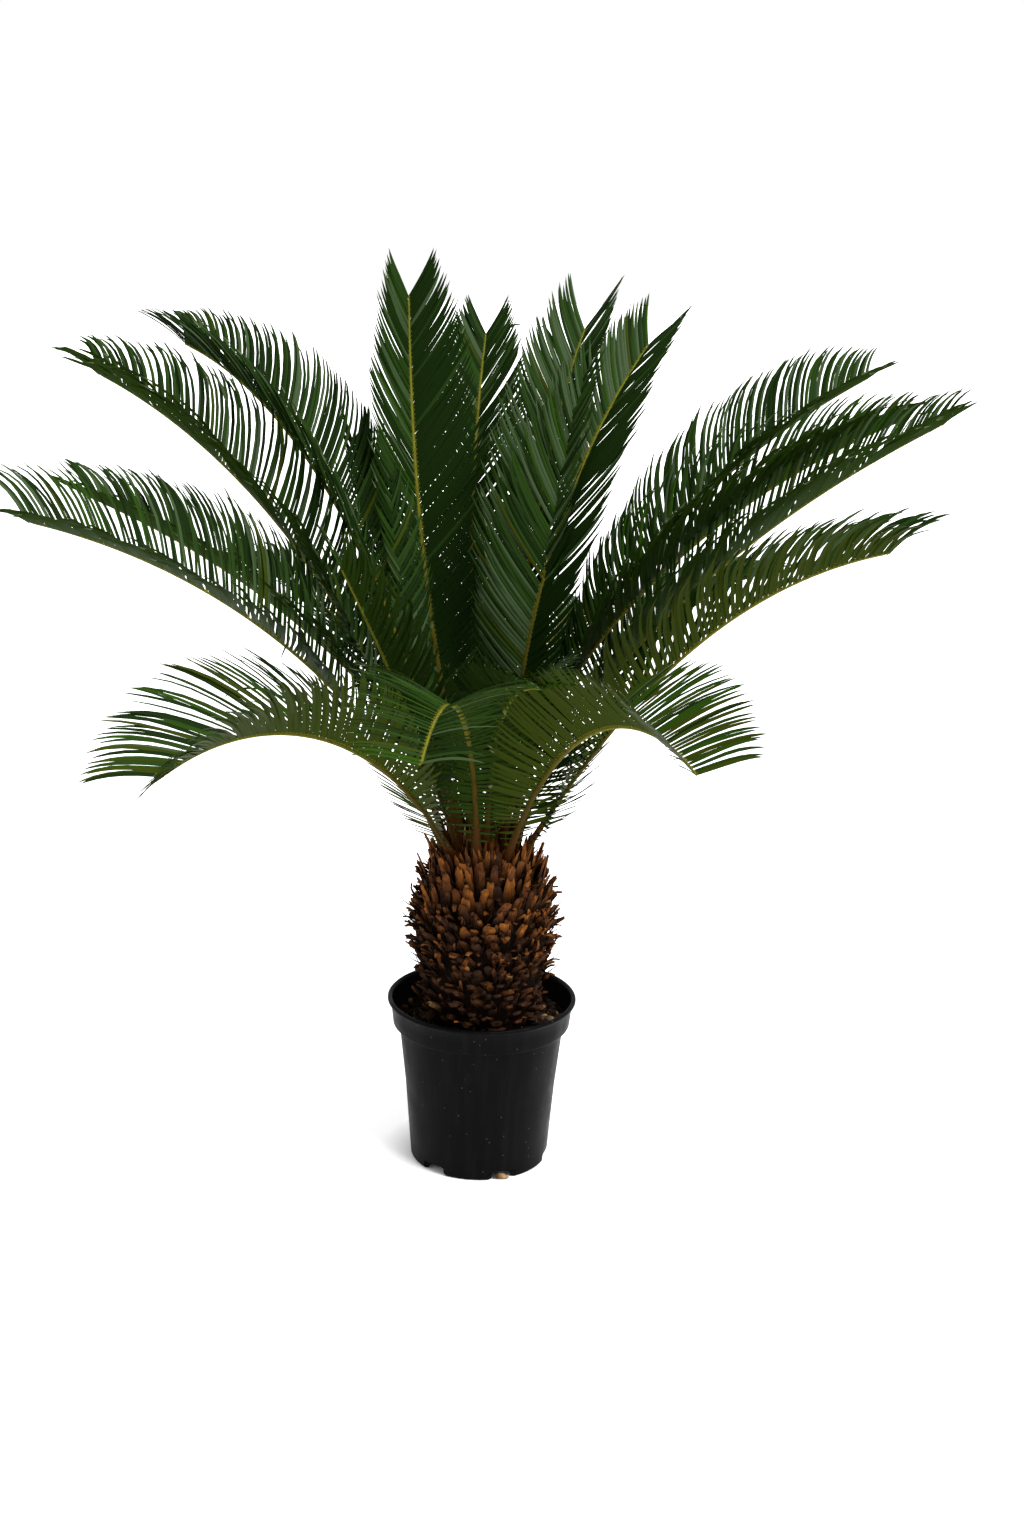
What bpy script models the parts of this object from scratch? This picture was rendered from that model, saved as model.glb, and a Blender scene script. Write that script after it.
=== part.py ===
"""A sago palm in a round nursery pot, as separate closed solids.

Metres, +Z up. The origin is the middle of the pot's flat underside, and +Z runs up the trunk.
Headings are compass directions of the fronds: 0 degrees is +X and 90 degrees is +Y.
The pot stands open at the top, compost fills it, the trunk stands on the compost, and each
frond is a tapering stalk with two rows of leaflets, its foot a hair above the trunk's crown.
"""

import math
from dataclasses import dataclass

import bmesh
import bpy
from mathutils import Vector
from mathutils.bvhtree import BVHTree

# ---------------------------------------------------------------- driving dimensions
GAP = 0.0003  # kept between pieces that rest on each other

POT_HEIGHT = 0.235
RIM_RADIUS = 0.130  # outside of the rolled rim
RIM_DEPTH = 0.008  # height of the rolled rim
COLLAR_TOP_RADIUS = 0.1250
COLLAR_FOOT_RADIUS = 0.1220
COLLAR_FOOT = 0.197  # height of the step below the collar
BODY_TOP_RADIUS = 0.1120
BODY_FOOT_RADIUS = 0.0955
POT_WALL = 0.0024
TURN_STEPS = 40  # facets round the pot and the compost
FLOOR_RADIUS = 0.068  # flat middle of the floor, which the pot stands on
GUTTER_TOP = 0.0110  # underside of the raised ring round the floor
GUTTER_WALL = 0.0930  # where the raised ring meets the foot of the wall
FOOT_ROUNDING = 0.0045  # height of the rounded edge at the foot of the wall
NOTCH_COUNT = 6
NOTCH_WIDTH = 0.040
NOTCH_HEIGHT = 0.0122
NOTCH_DEPTH = 0.014  # of the cutters, from inside the wall to outside it
NOTCH_FIRST_HEADING = -69.0

SOIL_LEVEL = 0.203
SOIL_EDGE_DROP = 0.003  # the compost falls by this from the trunk to the pot's wall

TRUNK_FOOT = SOIL_LEVEL + GAP
CROWN_LEVEL = 0.439  # flat top of the trunk, which the stalks stand on
TRUNK_FOOT_RADIUS = 0.073
TRUNK_BULGE_RADIUS = 0.0900
TRUNK_BULGE_LEVEL = 0.345
TRUNK_FOOT_BOW = 1.1  # 1 narrows straight from the bulge to the foot, and more bows it out
TRUNK_CROWN_BOW = 1.5  # the same, from the bulge to the crown
CROWN_RADIUS = 0.0600
TRUNK_STEPS = 28
TRUNK_RINGS = 9

SCALE_ROWS = 9  # rows of old leaf bases up the trunk
SCALES_PER_ROW = 12
SCALE_SPIRAL = 0.618  # how far each row is turned against the one below it, in leaf bases
SCALE_LENGTH = 0.042
SCALE_WIDTH = 0.025
SCALE_THICKNESS = 0.013
SCALE_ROOT_DEPTH = 0.012  # how far a leaf base starts inside the trunk
SCALE_WAIST = 0.55  # share of its length where it is widest
SCALE_BULGE = 0.004  # how far it bows outwards there
SCALE_LEAN_FOOT = 54.0  # angle above level of the lowest leaf bases
SCALE_LEAN_TOP = 74.0  # and of the uppermost
SCALE_FOOT_LEVEL = TRUNK_FOOT + 0.012  # where the lowest row is rooted
SCALE_TOP_LEVEL = CROWN_LEVEL - 0.032

STALK_FOOT_RADIUS = 0.0062
STALK_MIDDLE_RADIUS = 0.0036
STALK_TIP_RADIUS = 0.0013
STALK_SWELL = 0.12  # share of the stalk over which its foot narrows
STALK_LIFT = 0.006  # upright first stretch, which gives the foot a level face
STALK_STEPS = 96
STALK_STRIDE = 8  # steps between two points of the stalk's curve
SPLIT_GAP = 0.0005  # between the two lengths of an arched frond

LEAFLET_PAIRS = 11
LEAFLET_WIDTH = 0.019
LEAFLET_THICKNESS = 0.0026
LEAFLET_SLENDERNESS = 0.018  # least thickness as a share of a leaflet's length
LEAFLET_MIDDLE = 0.42  # share of a leaflet's length where it is widest
LEAFLET_GROWTH = 1.7  # how fast leaflets lengthen along the leafy stalk
LEAFLET_CLOSED = 8.0  # the least angle to the stalk that a leaflet turns to
LEAFLET_PATH_STEPS = 8
LAST_LEAFLET = 0.985  # share of the leafy stalk where the last pair is rooted
LEAFLET_VEE_SHARE = 0.3  # share of the leafy stalk over which the rows rise to their full vee
LEAFLET_MARGIN = 0.0008  # clear distance to other limbs
SPLIT_CLEAR = 0.012  # share of the stalk beside a split that bears no leaflets
LEAFLET_TRIES = (1.0, 0.7, 0.45)  # lengths tried before a leaflet is skipped

INNER = 0.022  # radii of the three rings that the stalks stand on
MIDDLE = 0.037
OUTER = 0.053


@dataclass(frozen=True)
class Frond:
    """One frond: lengths in metres, angles in degrees.

    heading is where it leans, rise and tip are its angles above level at foot and end, and bend
    is below 1 where it bows early and above 1 where it bows late. sway turns the heading on the
    way. vee, foot_vee and tip_vee lift the leaflet rows above the blade's plane, and roll turns
    the blade round its stalk, its right row up. seat is the heading of its foot on the crown,
    where that differs. Leaflets stand at the opening angle to the stalk, from foot to tip, and
    curl towards it. They start at a share of their full length and shorten again past the
    shoulder, and tail is how much shorter they are at the tip. split is the share of the stalk
    at which an arched frond is made as two lengths.
    """

    name: str
    heading: float
    length: float
    rise: float
    tip: float
    bend: float
    sway: float = 0.0
    ring: float = MIDDLE
    vee: float = 38.0
    foot_vee: float = -5.0
    leaflet: float = 0.15
    bare: float = 0.16
    seat: float | None = None
    tip_vee: float | None = None
    roll: float = 0.0
    opening: tuple[float, float] = (72.0, 38.0)
    curl: float = 32.0
    shoulder: float = 0.6
    tail: float = 0.45
    start: float = 0.35
    split: float | None = None


FRONDS = (
    Frond("frond_left_low", 196, 0.739, 65.5, 15.3, 1.05, 4, OUTER, 38, -12, 0.150, 0.14,
          roll=21, opening=(74, 54), tail=0.38, start=0.20),
    Frond("frond_left", 176, 0.700, 86, 22, 0.5, 0, MIDDLE, 42, -5, 0.132, 0.18,
          roll=13, opening=(68, 42)),
    Frond("frond_left_upper", 163, 0.825, 68, 21, 1.5, -4, OUTER, 46, -5, 0.158, 0.20, 160,
          roll=8, opening=(70, 44), curl=36, tail=0.5),
    Frond("frond_back_left_upper", 149, 0.855, 70, 12, 2.0, -10, MIDDLE, 47, -5, 0.160, 0.20,
          roll=-3, opening=(64, 40), tail=0.42),
    Frond("frond_back_left_inner", 130, 0.574, 58, 70, 1.87, 0, MIDDLE, 40, -5, 0.120, 0.20, 126,
          opening=(60, 30)),
    Frond("frond_back_left_tall", 121, 0.770, 58, 84, 1.3, -16, INNER, 37, -5, 0.155, 0.14,
          roll=-2, opening=(60, 37), curl=18, tail=0.50),
    Frond("frond_back_tall", 101, 0.785, 60, 50, 1.1, -18, MIDDLE, 36, -5, 0.150, 0.14,
          opening=(60, 40), curl=18, tail=0.55),
    Frond("frond_back_right_tall", 62, 0.745, 75.4, 41.7, 2.97, 6, INNER, 34, -5, 0.135, 0.14, 80,
          opening=(54, 36), curl=18, tail=0.30),
    Frond("frond_back_right_upper", 50, 0.739, 89, 39.6, 1.24, 0, MIDDLE, 30, -5, 0.145, 0.14, 40,
          roll=-12, opening=(58, 34), curl=18, tail=0.45),
    Frond("frond_right_upper", 18, 0.831, 88, 25.6, 0.74, 0, MIDDLE, 42, -5, 0.138, 0.18,
          roll=-14, opening=(60, 50), curl=36, shoulder=0.7, tail=0.62, start=0.1),
    Frond("frond_right", 4, 0.800, 86, 25, 0.70, -6, INNER, 46, -5, 0.150, 0.18,
          roll=-8, opening=(70, 42), tail=0.62),
    Frond("frond_right_middle", -9, 0.821, 80.3, 29.8, 0.60, 0, MIDDLE, 40, -5, 0.150, 0.16,
          roll=-14, opening=(70, 40), tail=0.58),
    Frond("frond_right_low", -24, 0.690, 59, 16.4, 1.83, -6, OUTER, 46, -25, 0.142, 0.08,
          opening=(70, 42), curl=34, tail=0.38),
    Frond("frond_front_right_arch", -58, 0.590, 63, -20, 1.35, -9, OUTER, 33, -5, 0.140, 0.12,
          tip_vee=42, roll=3, opening=(76, 68), curl=20, tail=0.38, split=0.5),
    Frond("frond_front_left_arch", -138, 0.560, 57, -24, 1.4, 4, OUTER, 48, -20, 0.180, 0.08,
          tip_vee=34, roll=-3, opening=(62, 46), curl=18, tail=0.45, start=0.25, split=0.5),
    Frond("frond_front_arch", -100, 0.520, 80, -38, 1.5, 0, OUTER, 26, -5, 0.126, 0.14,
          opening=(88, 86), curl=14, tail=0.3, split=0.55),
    Frond("frond_front_young", -86, 0.440, 80, 8, 1.2, 16, INNER, 30, -5, 0.120, 0.12,
          opening=(66, 34)),
    Frond("frond_front_left_young", -152, 0.450, 70, 60, 1.2, 13, MIDDLE, 30, -5, 0.130, 0.14,
          opening=(66, 34)),
    Frond("frond_back_right_low", 42, 0.580, 62, 2, 1.2, 0, OUTER, 32, -10, 0.145, 0.08,
          start=0.40),
    Frond("frond_back_low", 74, 0.600, 60, -22, 1.2, 0, OUTER, 32, -10, 0.145, 0.08,
          start=0.40, split=0.5),
    Frond("frond_back_left_arch", 107, 0.610, 60, -16, 1.2, 0, OUTER, 32, -10, 0.145, 0.08,
          start=0.40, split=0.5),
    Frond("frond_back_left_low", 134, 0.580, 62, 0, 1.2, 0, OUTER, 32, -10, 0.145, 0.08,
          start=0.40),
)


@dataclass(frozen=True)
class Limb:
    """A length of one frond that is made as one solid, from one share of its stalk to another."""

    name: str
    frond: Frond
    start: float
    end: float


def mix(first, second, share):
    """The value that lies a share of the way from the first to the second."""
    return first + (second - first) * share


# ---------------------------------------------------------------- scene, materials, collections
def clear_scene():
    for obj in list(bpy.data.objects):
        bpy.data.objects.remove(obj, do_unlink=True)


def new_collection(name):
    collection = bpy.data.collections.new(name)
    bpy.context.scene.collection.children.link(collection)
    return collection


def make_material(name, colour, roughness):
    """A plain Principled BSDF with this colour and roughness."""
    material = bpy.data.materials.new(name)
    material.use_nodes = True
    shader = material.node_tree.nodes["Principled BSDF"]
    shader.inputs["Base Color"].default_value = (*colour, 1.0)
    shader.inputs["Roughness"].default_value = roughness
    shader.inputs["Metallic"].default_value = 0.0
    material.diffuse_color = (*colour, 1.0)
    return material


def new_object(name, data, collection, material=None):
    obj = bpy.data.objects.new(name, data)
    collection.objects.link(obj)
    if material:
        data.materials.append(material)
    return obj


def apply_modifiers(obj):
    """Applies all of an object's modifiers, in order."""
    bpy.ops.object.select_all(action="DESELECT")
    bpy.context.view_layer.objects.active = obj
    obj.select_set(True)
    for modifier in list(obj.modifiers):
        bpy.ops.object.modifier_apply(modifier=modifier.name)


def smooth(obj, degrees=40):
    obj.data.shade_smooth()
    obj.data.set_sharp_from_angle(angle=math.radians(degrees))


# ---------------------------------------------------------------- turned pieces
def turned_object(name, profile, steps, collection, material):
    """A solid of revolution about Z from (radius, height) points, top to bottom down its outside."""
    mesh = bpy.data.meshes.new(name)
    shape = bmesh.new()
    points = [shape.verts.new((radius, 0.0, height)) for radius, height in profile]
    for upper, lower in zip(points, points[1:]):
        shape.edges.new((upper, lower))
    shape.to_mesh(mesh)
    shape.free()
    obj = new_object(name, mesh, collection, material)
    screw = obj.modifiers.new("turn", "SCREW")
    screw.axis = "Z"
    screw.angle = math.tau
    screw.steps = steps
    screw.render_steps = steps
    screw.use_merge_vertices = True
    screw.merge_threshold = 0.00005
    apply_modifiers(obj)
    return obj


def pot_profile():
    """The pot's wall and floor: up the inside, over the rim, down the outside, in along the underside."""
    lip_top = POT_HEIGHT
    lip_foot = POT_HEIGHT - RIM_DEPTH
    lip_inner = COLLAR_TOP_RADIUS - POT_WALL
    return [
        (0.0, POT_WALL),
        (FLOOR_RADIUS, POT_WALL),
        (FLOOR_RADIUS + 0.001, GUTTER_TOP + POT_WALL),
        (BODY_FOOT_RADIUS - POT_WALL + 0.0002, GUTTER_TOP + POT_WALL + 0.001),
        (BODY_TOP_RADIUS - POT_WALL, COLLAR_FOOT - 0.001),
        (COLLAR_FOOT_RADIUS - POT_WALL, COLLAR_FOOT + POT_WALL),
        (lip_inner, lip_foot),
        (lip_inner + 0.0008, lip_top - 0.0012),
        (lip_inner + 0.0024, lip_top),
        (RIM_RADIUS - 0.0018, lip_top - 0.0004),
        (RIM_RADIUS, lip_top - 0.0030),
        (RIM_RADIUS - 0.0006, lip_foot + 0.0010),
        (COLLAR_TOP_RADIUS + 0.0002, lip_foot),
        (COLLAR_FOOT_RADIUS, COLLAR_FOOT),
        (BODY_TOP_RADIUS, COLLAR_FOOT - 0.0016),
        (BODY_FOOT_RADIUS + 0.0016, 0.022),
        (BODY_FOOT_RADIUS, FOOT_ROUNDING),
        (BODY_FOOT_RADIUS - 0.0012, 0.0),
        (GUTTER_WALL, 0.0),
        (GUTTER_WALL, GUTTER_TOP),
        (FLOOR_RADIUS + 0.004, GUTTER_TOP),
        (FLOOR_RADIUS + 0.003, 0.0),
        (0.0, 0.0),
    ]


def make_pot(parts, cutters, material):
    """The nursery pot, with a rolled rim, a collar, and drainage notches round its foot."""
    pot = turned_object("pot", pot_profile(), TURN_STEPS, parts, material)
    for index in range(NOTCH_COUNT):
        heading = math.radians(NOTCH_FIRST_HEADING + 360.0 * index / NOTCH_COUNT)
        bpy.ops.mesh.primitive_cube_add(size=1.0)
        cutter = bpy.context.active_object
        cutter.name = f"notch_cutter_{index + 1}"
        cutter.dimensions = (NOTCH_DEPTH, NOTCH_WIDTH, 2 * NOTCH_HEIGHT)
        distance = BODY_FOOT_RADIUS + 0.002
        cutter.location = (distance * math.cos(heading), distance * math.sin(heading), 0.0)
        cutter.rotation_euler = (0.0, 0.0, heading)
        move_to(cutter, cutters)
        hide_cutter(cutter)
        cut = pot.modifiers.new(cutter.name, "BOOLEAN")
        cut.operation = "DIFFERENCE"
        cut.object = cutter
    smooth(pot)
    return pot


def move_to(obj, collection):
    """Takes an object out of its collections and links it to this one."""
    for holder in list(obj.users_collection):
        holder.objects.unlink(obj)
    collection.objects.link(obj)


def hide_cutter(obj):
    obj.hide_render = True
    obj.display_type = "WIRE"


def make_soil(parts, material):
    """The compost that fills the pot, a hair clear of its wall and floor."""
    low = GUTTER_TOP + POT_WALL + 0.001 + GAP
    wall = BODY_TOP_RADIUS - POT_WALL - GAP
    profile = [
        (0.0, SOIL_LEVEL),
        (TRUNK_BULGE_RADIUS, SOIL_LEVEL),
        (COLLAR_FOOT_RADIUS - POT_WALL - 2 * GAP, SOIL_LEVEL - SOIL_EDGE_DROP),
        (wall, COLLAR_FOOT - 0.0002),
        (BODY_FOOT_RADIUS - POT_WALL - GAP, low),
        (FLOOR_RADIUS - GAP, low),
        (FLOOR_RADIUS - 2 * GAP, POT_WALL + GAP),
        (0.0, POT_WALL + GAP),
    ]
    soil = turned_object("compost", profile, TURN_STEPS, parts, material)
    smooth(soil)
    return soil


# ---------------------------------------------------------------- blades: leaflets and leaf bases
def blade_bmesh(path, across, width, thickness, grow=0.0):
    """A pointed blade of eight faces along a path: a root point, a four-cornered waist and a tip.

    across is the direction of its width. grow widens it all round, for a test of clearance.
    """
    shape = bmesh.new()
    bmesh.ops.create_uvsphere(shape, u_segments=4, v_segments=2, radius=1.0)
    root, waist, tip = path
    along = (tip - root).normalized()
    side = (across - along * across.dot(along)).normalized()
    face = along.cross(side)
    for vert in shape.verts:
        if vert.co.z > 0.5:
            vert.co = tip + along * grow
        elif vert.co.z < -0.5:
            vert.co = root
        else:
            sideways = side * vert.co.x * (width / 2 + grow)
            vert.co = waist + sideways + face * vert.co.y * (thickness / 2 + grow)
    bmesh.ops.recalc_face_normals(shape, faces=shape.faces)
    return shape


def blade_object(name, shape, collection):
    mesh = bpy.data.meshes.new(name)
    shape.to_mesh(mesh)
    shape.free()
    return new_object(name, mesh, collection)


def join_blades(base, blades):
    """Joins a collection of blades to the base by one union, applies it and removes the blades."""
    join = base.modifiers.new("join", "BOOLEAN")
    join.operation = "UNION"
    join.operand_type = "COLLECTION"
    join.collection = blades
    apply_modifiers(base)
    for blade in list(blades.objects):
        bpy.data.objects.remove(blade, do_unlink=True)
    bpy.data.collections.remove(blades)


# ---------------------------------------------------------------- trunk
def trunk_radius(level):
    """The trunk's radius at a height: a barrel that is widest above its middle."""
    if level < TRUNK_BULGE_LEVEL:
        share = (TRUNK_BULGE_LEVEL - level) / (TRUNK_BULGE_LEVEL - TRUNK_FOOT)
        return mix(TRUNK_BULGE_RADIUS, TRUNK_FOOT_RADIUS, share**TRUNK_FOOT_BOW)
    share = (level - TRUNK_BULGE_LEVEL) / (CROWN_LEVEL - TRUNK_BULGE_LEVEL)
    return mix(TRUNK_BULGE_RADIUS, CROWN_RADIUS, share**TRUNK_CROWN_BOW)


def make_trunk(parts, material):
    """The short stout trunk, clothed in a spiral of old leaf bases."""
    levels = [mix(CROWN_LEVEL, TRUNK_FOOT, i / (TRUNK_RINGS - 1)) for i in range(TRUNK_RINGS)]
    profile = [(trunk_radius(level), level) for level in levels]
    profile = [(0.0, CROWN_LEVEL), *profile, (0.0, TRUNK_FOOT)]
    trunk = turned_object("trunk", profile, TRUNK_STEPS, parts, material)
    scales = new_collection("leaf_bases")
    for row in range(SCALE_ROWS):
        level = mix(SCALE_FOOT_LEVEL, SCALE_TOP_LEVEL, row / (SCALE_ROWS - 1))
        lean = math.radians(mix(SCALE_LEAN_FOOT, SCALE_LEAN_TOP, row / (SCALE_ROWS - 1)))
        for index in range(SCALES_PER_ROW):
            turn = math.tau * (index + SCALE_SPIRAL * row) / SCALES_PER_ROW
            add_leaf_base(scales, f"leaf_base_{row}_{index}", turn, level, lean)
    join_blades(trunk, scales)
    smooth(trunk, 30)
    return trunk


def add_leaf_base(scales, name, turn, level, lean):
    """One old leaf base, which roots inside the trunk and leans up and out of it."""
    outward = Vector((math.cos(turn), math.sin(turn), 0.0))
    around = Vector((-math.sin(turn), math.cos(turn), 0.0))
    way = outward * math.cos(lean) + Vector((0.0, 0.0, math.sin(lean)))
    root = outward * (trunk_radius(level) - SCALE_ROOT_DEPTH) + Vector((0.0, 0.0, level))
    waist = root + way * SCALE_LENGTH * SCALE_WAIST + outward * SCALE_BULGE
    tip = root + way * SCALE_LENGTH
    shape = blade_bmesh((root, waist, tip), around, SCALE_WIDTH, SCALE_THICKNESS)
    blade_object(name, shape, scales)


# ---------------------------------------------------------------- fronds
def stalk_direction(frond, share):
    """The stalk's direction at a share of its length."""
    rise = math.radians(mix(frond.rise, frond.tip, share**frond.bend))
    heading = math.radians(frond.heading + frond.sway * share)
    level = math.cos(rise)
    return Vector((level * math.cos(heading), level * math.sin(heading), math.sin(rise)))


def stalk_line(frond):
    """Points along the stalk's axis, from the top of its upright foot to its tip."""
    seat = math.radians(frond.heading if frond.seat is None else frond.seat)
    base = CROWN_LEVEL + GAP + STALK_LIFT
    points = [Vector((frond.ring * math.cos(seat), frond.ring * math.sin(seat), base))]
    stride = frond.length / STALK_STEPS
    for index in range(STALK_STEPS):
        share = (index + 0.5) / STALK_STEPS
        points.append(points[-1] + stalk_direction(frond, share) * stride)
    return points


def point_on(line, share):
    """The point at a share of the way along a line of evenly spaced points."""
    place = share * (len(line) - 1)
    index = min(int(place), len(line) - 2)
    return line[index].lerp(line[index + 1], place - index)


def stalk_radius(share):
    """The stalk's radius, swollen at the foot and tapering to the tip."""
    if share < STALK_SWELL:
        return mix(STALK_FOOT_RADIUS, STALK_MIDDLE_RADIUS, share / STALK_SWELL)
    return mix(STALK_MIDDLE_RADIUS, STALK_TIP_RADIUS, (share - STALK_SWELL) / (1 - STALK_SWELL))


def limbs_of(frond):
    """A frond as one limb, or an arched one as a lower and an upper length."""
    if frond.split is None:
        return [Limb(frond.name, frond, 0.0, 1.0)]
    start = frond.split + SPLIT_GAP / frond.length
    lower = Limb(f"{frond.name}_foot", frond, 0.0, frond.split)
    upper = Limb(f"{frond.name}_tip", frond, start, 1.0)
    return [lower, upper]


def make_stalk(limb, parts, material):
    """The limb's stalk as a closed mesh: a tapering tube along its stretch of the frond's line."""
    line = stalk_line(limb.frond)
    shares = [i / STALK_STEPS for i in range(0, STALK_STEPS + 1, STALK_STRIDE)]
    shares = [share for share in shares if limb.start + 0.01 < share < limb.end - 0.01]
    shares = [limb.start, *shares, limb.end]
    places = [(point_on(line, share), stalk_radius(share)) for share in shares]
    if limb.start == 0.0:
        foot = places[0][0] - Vector((0.0, 0.0, STALK_LIFT))
        places.insert(0, (foot, STALK_FOOT_RADIUS))
    curve = bpy.data.curves.new(limb.name, "CURVE")
    curve.dimensions = "3D"
    curve.bevel_depth = 1.0
    curve.bevel_resolution = 0
    curve.use_fill_caps = True
    spline = curve.splines.new("POLY")
    spline.points.add(len(places) - 1)
    for point, (place, radius) in zip(spline.points, places):
        point.co = (*place, 1.0)
        point.radius = radius
    tube = new_object(f"{limb.name}_tube", curve, parts)
    evaluated = tube.evaluated_get(bpy.context.evaluated_depsgraph_get())
    mesh = bpy.data.meshes.new_from_object(evaluated)
    bpy.data.objects.remove(tube, do_unlink=True)
    weld(mesh)
    mesh.name = limb.name
    return new_object(limb.name, mesh, parts, material)


def weld(mesh):
    """Closes a tube's loose caps and turns its faces outwards."""
    shape = bmesh.new()
    shape.from_mesh(mesh)
    bmesh.ops.remove_doubles(shape, verts=shape.verts, dist=0.00002)
    bmesh.ops.recalc_face_normals(shape, faces=shape.faces)
    shape.to_mesh(mesh)
    shape.free()


def leaflet_length(frond, way):
    """A leaflet's length at a share of the leafy stalk: short at the foot and at the tip."""
    rising = min(1.0, frond.start + LEAFLET_GROWTH * way)
    late = max(0.0, way - frond.shoulder) / (1.0 - frond.shoulder)
    return frond.leaflet * rising * (1.0 - frond.tail * late**1.5)


def leaflet_vee(frond, way, side):
    """A leaflet row's lift above the blade's plane, in degrees, at a share of the leafy stalk."""
    outer = frond.vee if frond.tip_vee is None else mix(frond.vee, frond.tip_vee, way)
    return mix(frond.foot_vee, outer + frond.roll * side, min(1.0, way / LEAFLET_VEE_SHARE))


def leaflet_path(frond, line, way, side, scale):
    """Root, waist and tip of a leaflet, and the direction of its width.

    way is its share of the leafy stalk, and side is 1 on the right of the frond and -1 on its left.
    The leaflet leaves the stalk at an angle, lifted into the vee, and curls towards the frond's tip.
    """
    share = mix(frond.bare, 1.0, way)
    forward = stalk_direction(frond, share)
    right = forward.cross(Vector((0.0, 0.0, 1.0))).normalized()
    up = right.cross(forward)
    vee = math.radians(leaflet_vee(frond, way, side))
    outward = right * side * math.cos(vee) + up * math.sin(vee)
    opening = mix(*frond.opening, way)
    step = leaflet_length(frond, way) * scale / LEAFLET_PATH_STEPS
    place = point_on(line, share)
    points = [place]
    for index in range(LEAFLET_PATH_STEPS):
        along = (index + 0.5) / LEAFLET_PATH_STEPS
        angle = math.radians(max(LEAFLET_CLOSED, opening - frond.curl * along**2))
        place = place + (forward * math.cos(angle) + outward * math.sin(angle)) * step
        points.append(place)
    path = (points[0], point_on(points, LEAFLET_MIDDLE), points[-1])
    return path, forward


def leaflet_ways(limb):
    """The shares of the leafy stalk that carry a pair of leaflets on this limb."""
    ways = [(index + 0.5) / (LEAFLET_PAIRS - 0.5) for index in range(LEAFLET_PAIRS)]
    lowest = limb.start + (SPLIT_CLEAR if limb.start > 0.0 else 0.0)
    highest = limb.end - (SPLIT_CLEAR if limb.end < 1.0 else 0.0)
    ways = [way for way in ways if lowest <= mix(limb.frond.bare, 1.0, way) <= highest]
    return [min(way, LAST_LEAFLET) for way in ways]


def tree_of(obj):
    """A search tree of an object's triangles, for tests of contact."""
    shape = bmesh.new()
    shape.from_mesh(obj.data)
    tree = BVHTree.FromBMesh(shape)
    shape.free()
    return tree


def add_leaflets(limb, stalk, others):
    """Grows a limb's leaflets and joins them to its stalk.

    A leaflet that would touch another limb is tried shorter, and then left out.
    """
    line = stalk_line(limb.frond)
    leaflets = new_collection(f"{limb.name}_leaflets")
    for index, way in enumerate(leaflet_ways(limb)):
        for side in (-1, 1):
            for scale in LEAFLET_TRIES:
                path, across = leaflet_path(limb.frond, line, way, side, scale)
                thickness = max(LEAFLET_THICKNESS, LEAFLET_SLENDERNESS * leaflet_span(path))
                size = (LEAFLET_WIDTH * scale**0.5, thickness)
                test = blade_bmesh(path, across, *size, grow=LEAFLET_MARGIN)
                tree = BVHTree.FromBMesh(test)
                test.free()
                if any(tree.overlap(other) for other in others):
                    continue
                shape = blade_bmesh(path, across, *size)
                blade_object(f"{limb.name}_leaflet_{index}_{side}", shape, leaflets)
                break
    join_blades(stalk, leaflets)


def leaflet_span(path):
    """The straight distance from a leaflet's root to its tip."""
    return (path[-1] - path[0]).length


def make_fronds(parts, trunk, material):
    """All fronds: the stalks first, and then the leaflets of each, clear of all other limbs."""
    limbs = [limb for frond in FRONDS for limb in limbs_of(frond)]
    stalks = {limb.name: make_stalk(limb, parts, material) for limb in limbs}
    trees = {name: tree_of(stalk) for name, stalk in stalks.items()}
    trees["trunk"] = tree_of(trunk)
    for limb in limbs:
        others = [tree for name, tree in trees.items() if name != limb.name]
        add_leaflets(limb, stalks[limb.name], others)
        trees[limb.name] = tree_of(stalks[limb.name])


def main():
    clear_scene()
    parts = new_collection("sago_palm")
    cutters = new_collection("cutters")
    black_plastic = make_material("black_plastic", (0.012, 0.012, 0.013), 0.42)
    compost = make_material("compost", (0.035, 0.022, 0.015), 0.95)
    leaf_bases = make_material("leaf_bases", (0.20, 0.085, 0.030), 0.85)
    leaf_green = make_material("leaf_green", (0.025, 0.070, 0.022), 0.45)
    make_pot(parts, cutters, black_plastic)
    make_soil(parts, compost)
    trunk = make_trunk(parts, leaf_bases)
    make_fronds(parts, trunk, leaf_green)


main()
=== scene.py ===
"""The looks of a sago palm in a nursery pot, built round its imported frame.

Metres, +Z up. The origin is the middle of the pot's flat underside. Each frond grows by the same
rule as its solid does, with every leaflet in place, and the pot, the compost and the trunk are
modelled again with their fine surface.
"""

import logging
import math
import random
from dataclasses import dataclass, field
from enum import Enum
from typing import ClassVar, Sequence

import bpy
from mathutils import Matrix, Quaternion, Vector, noise


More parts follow.
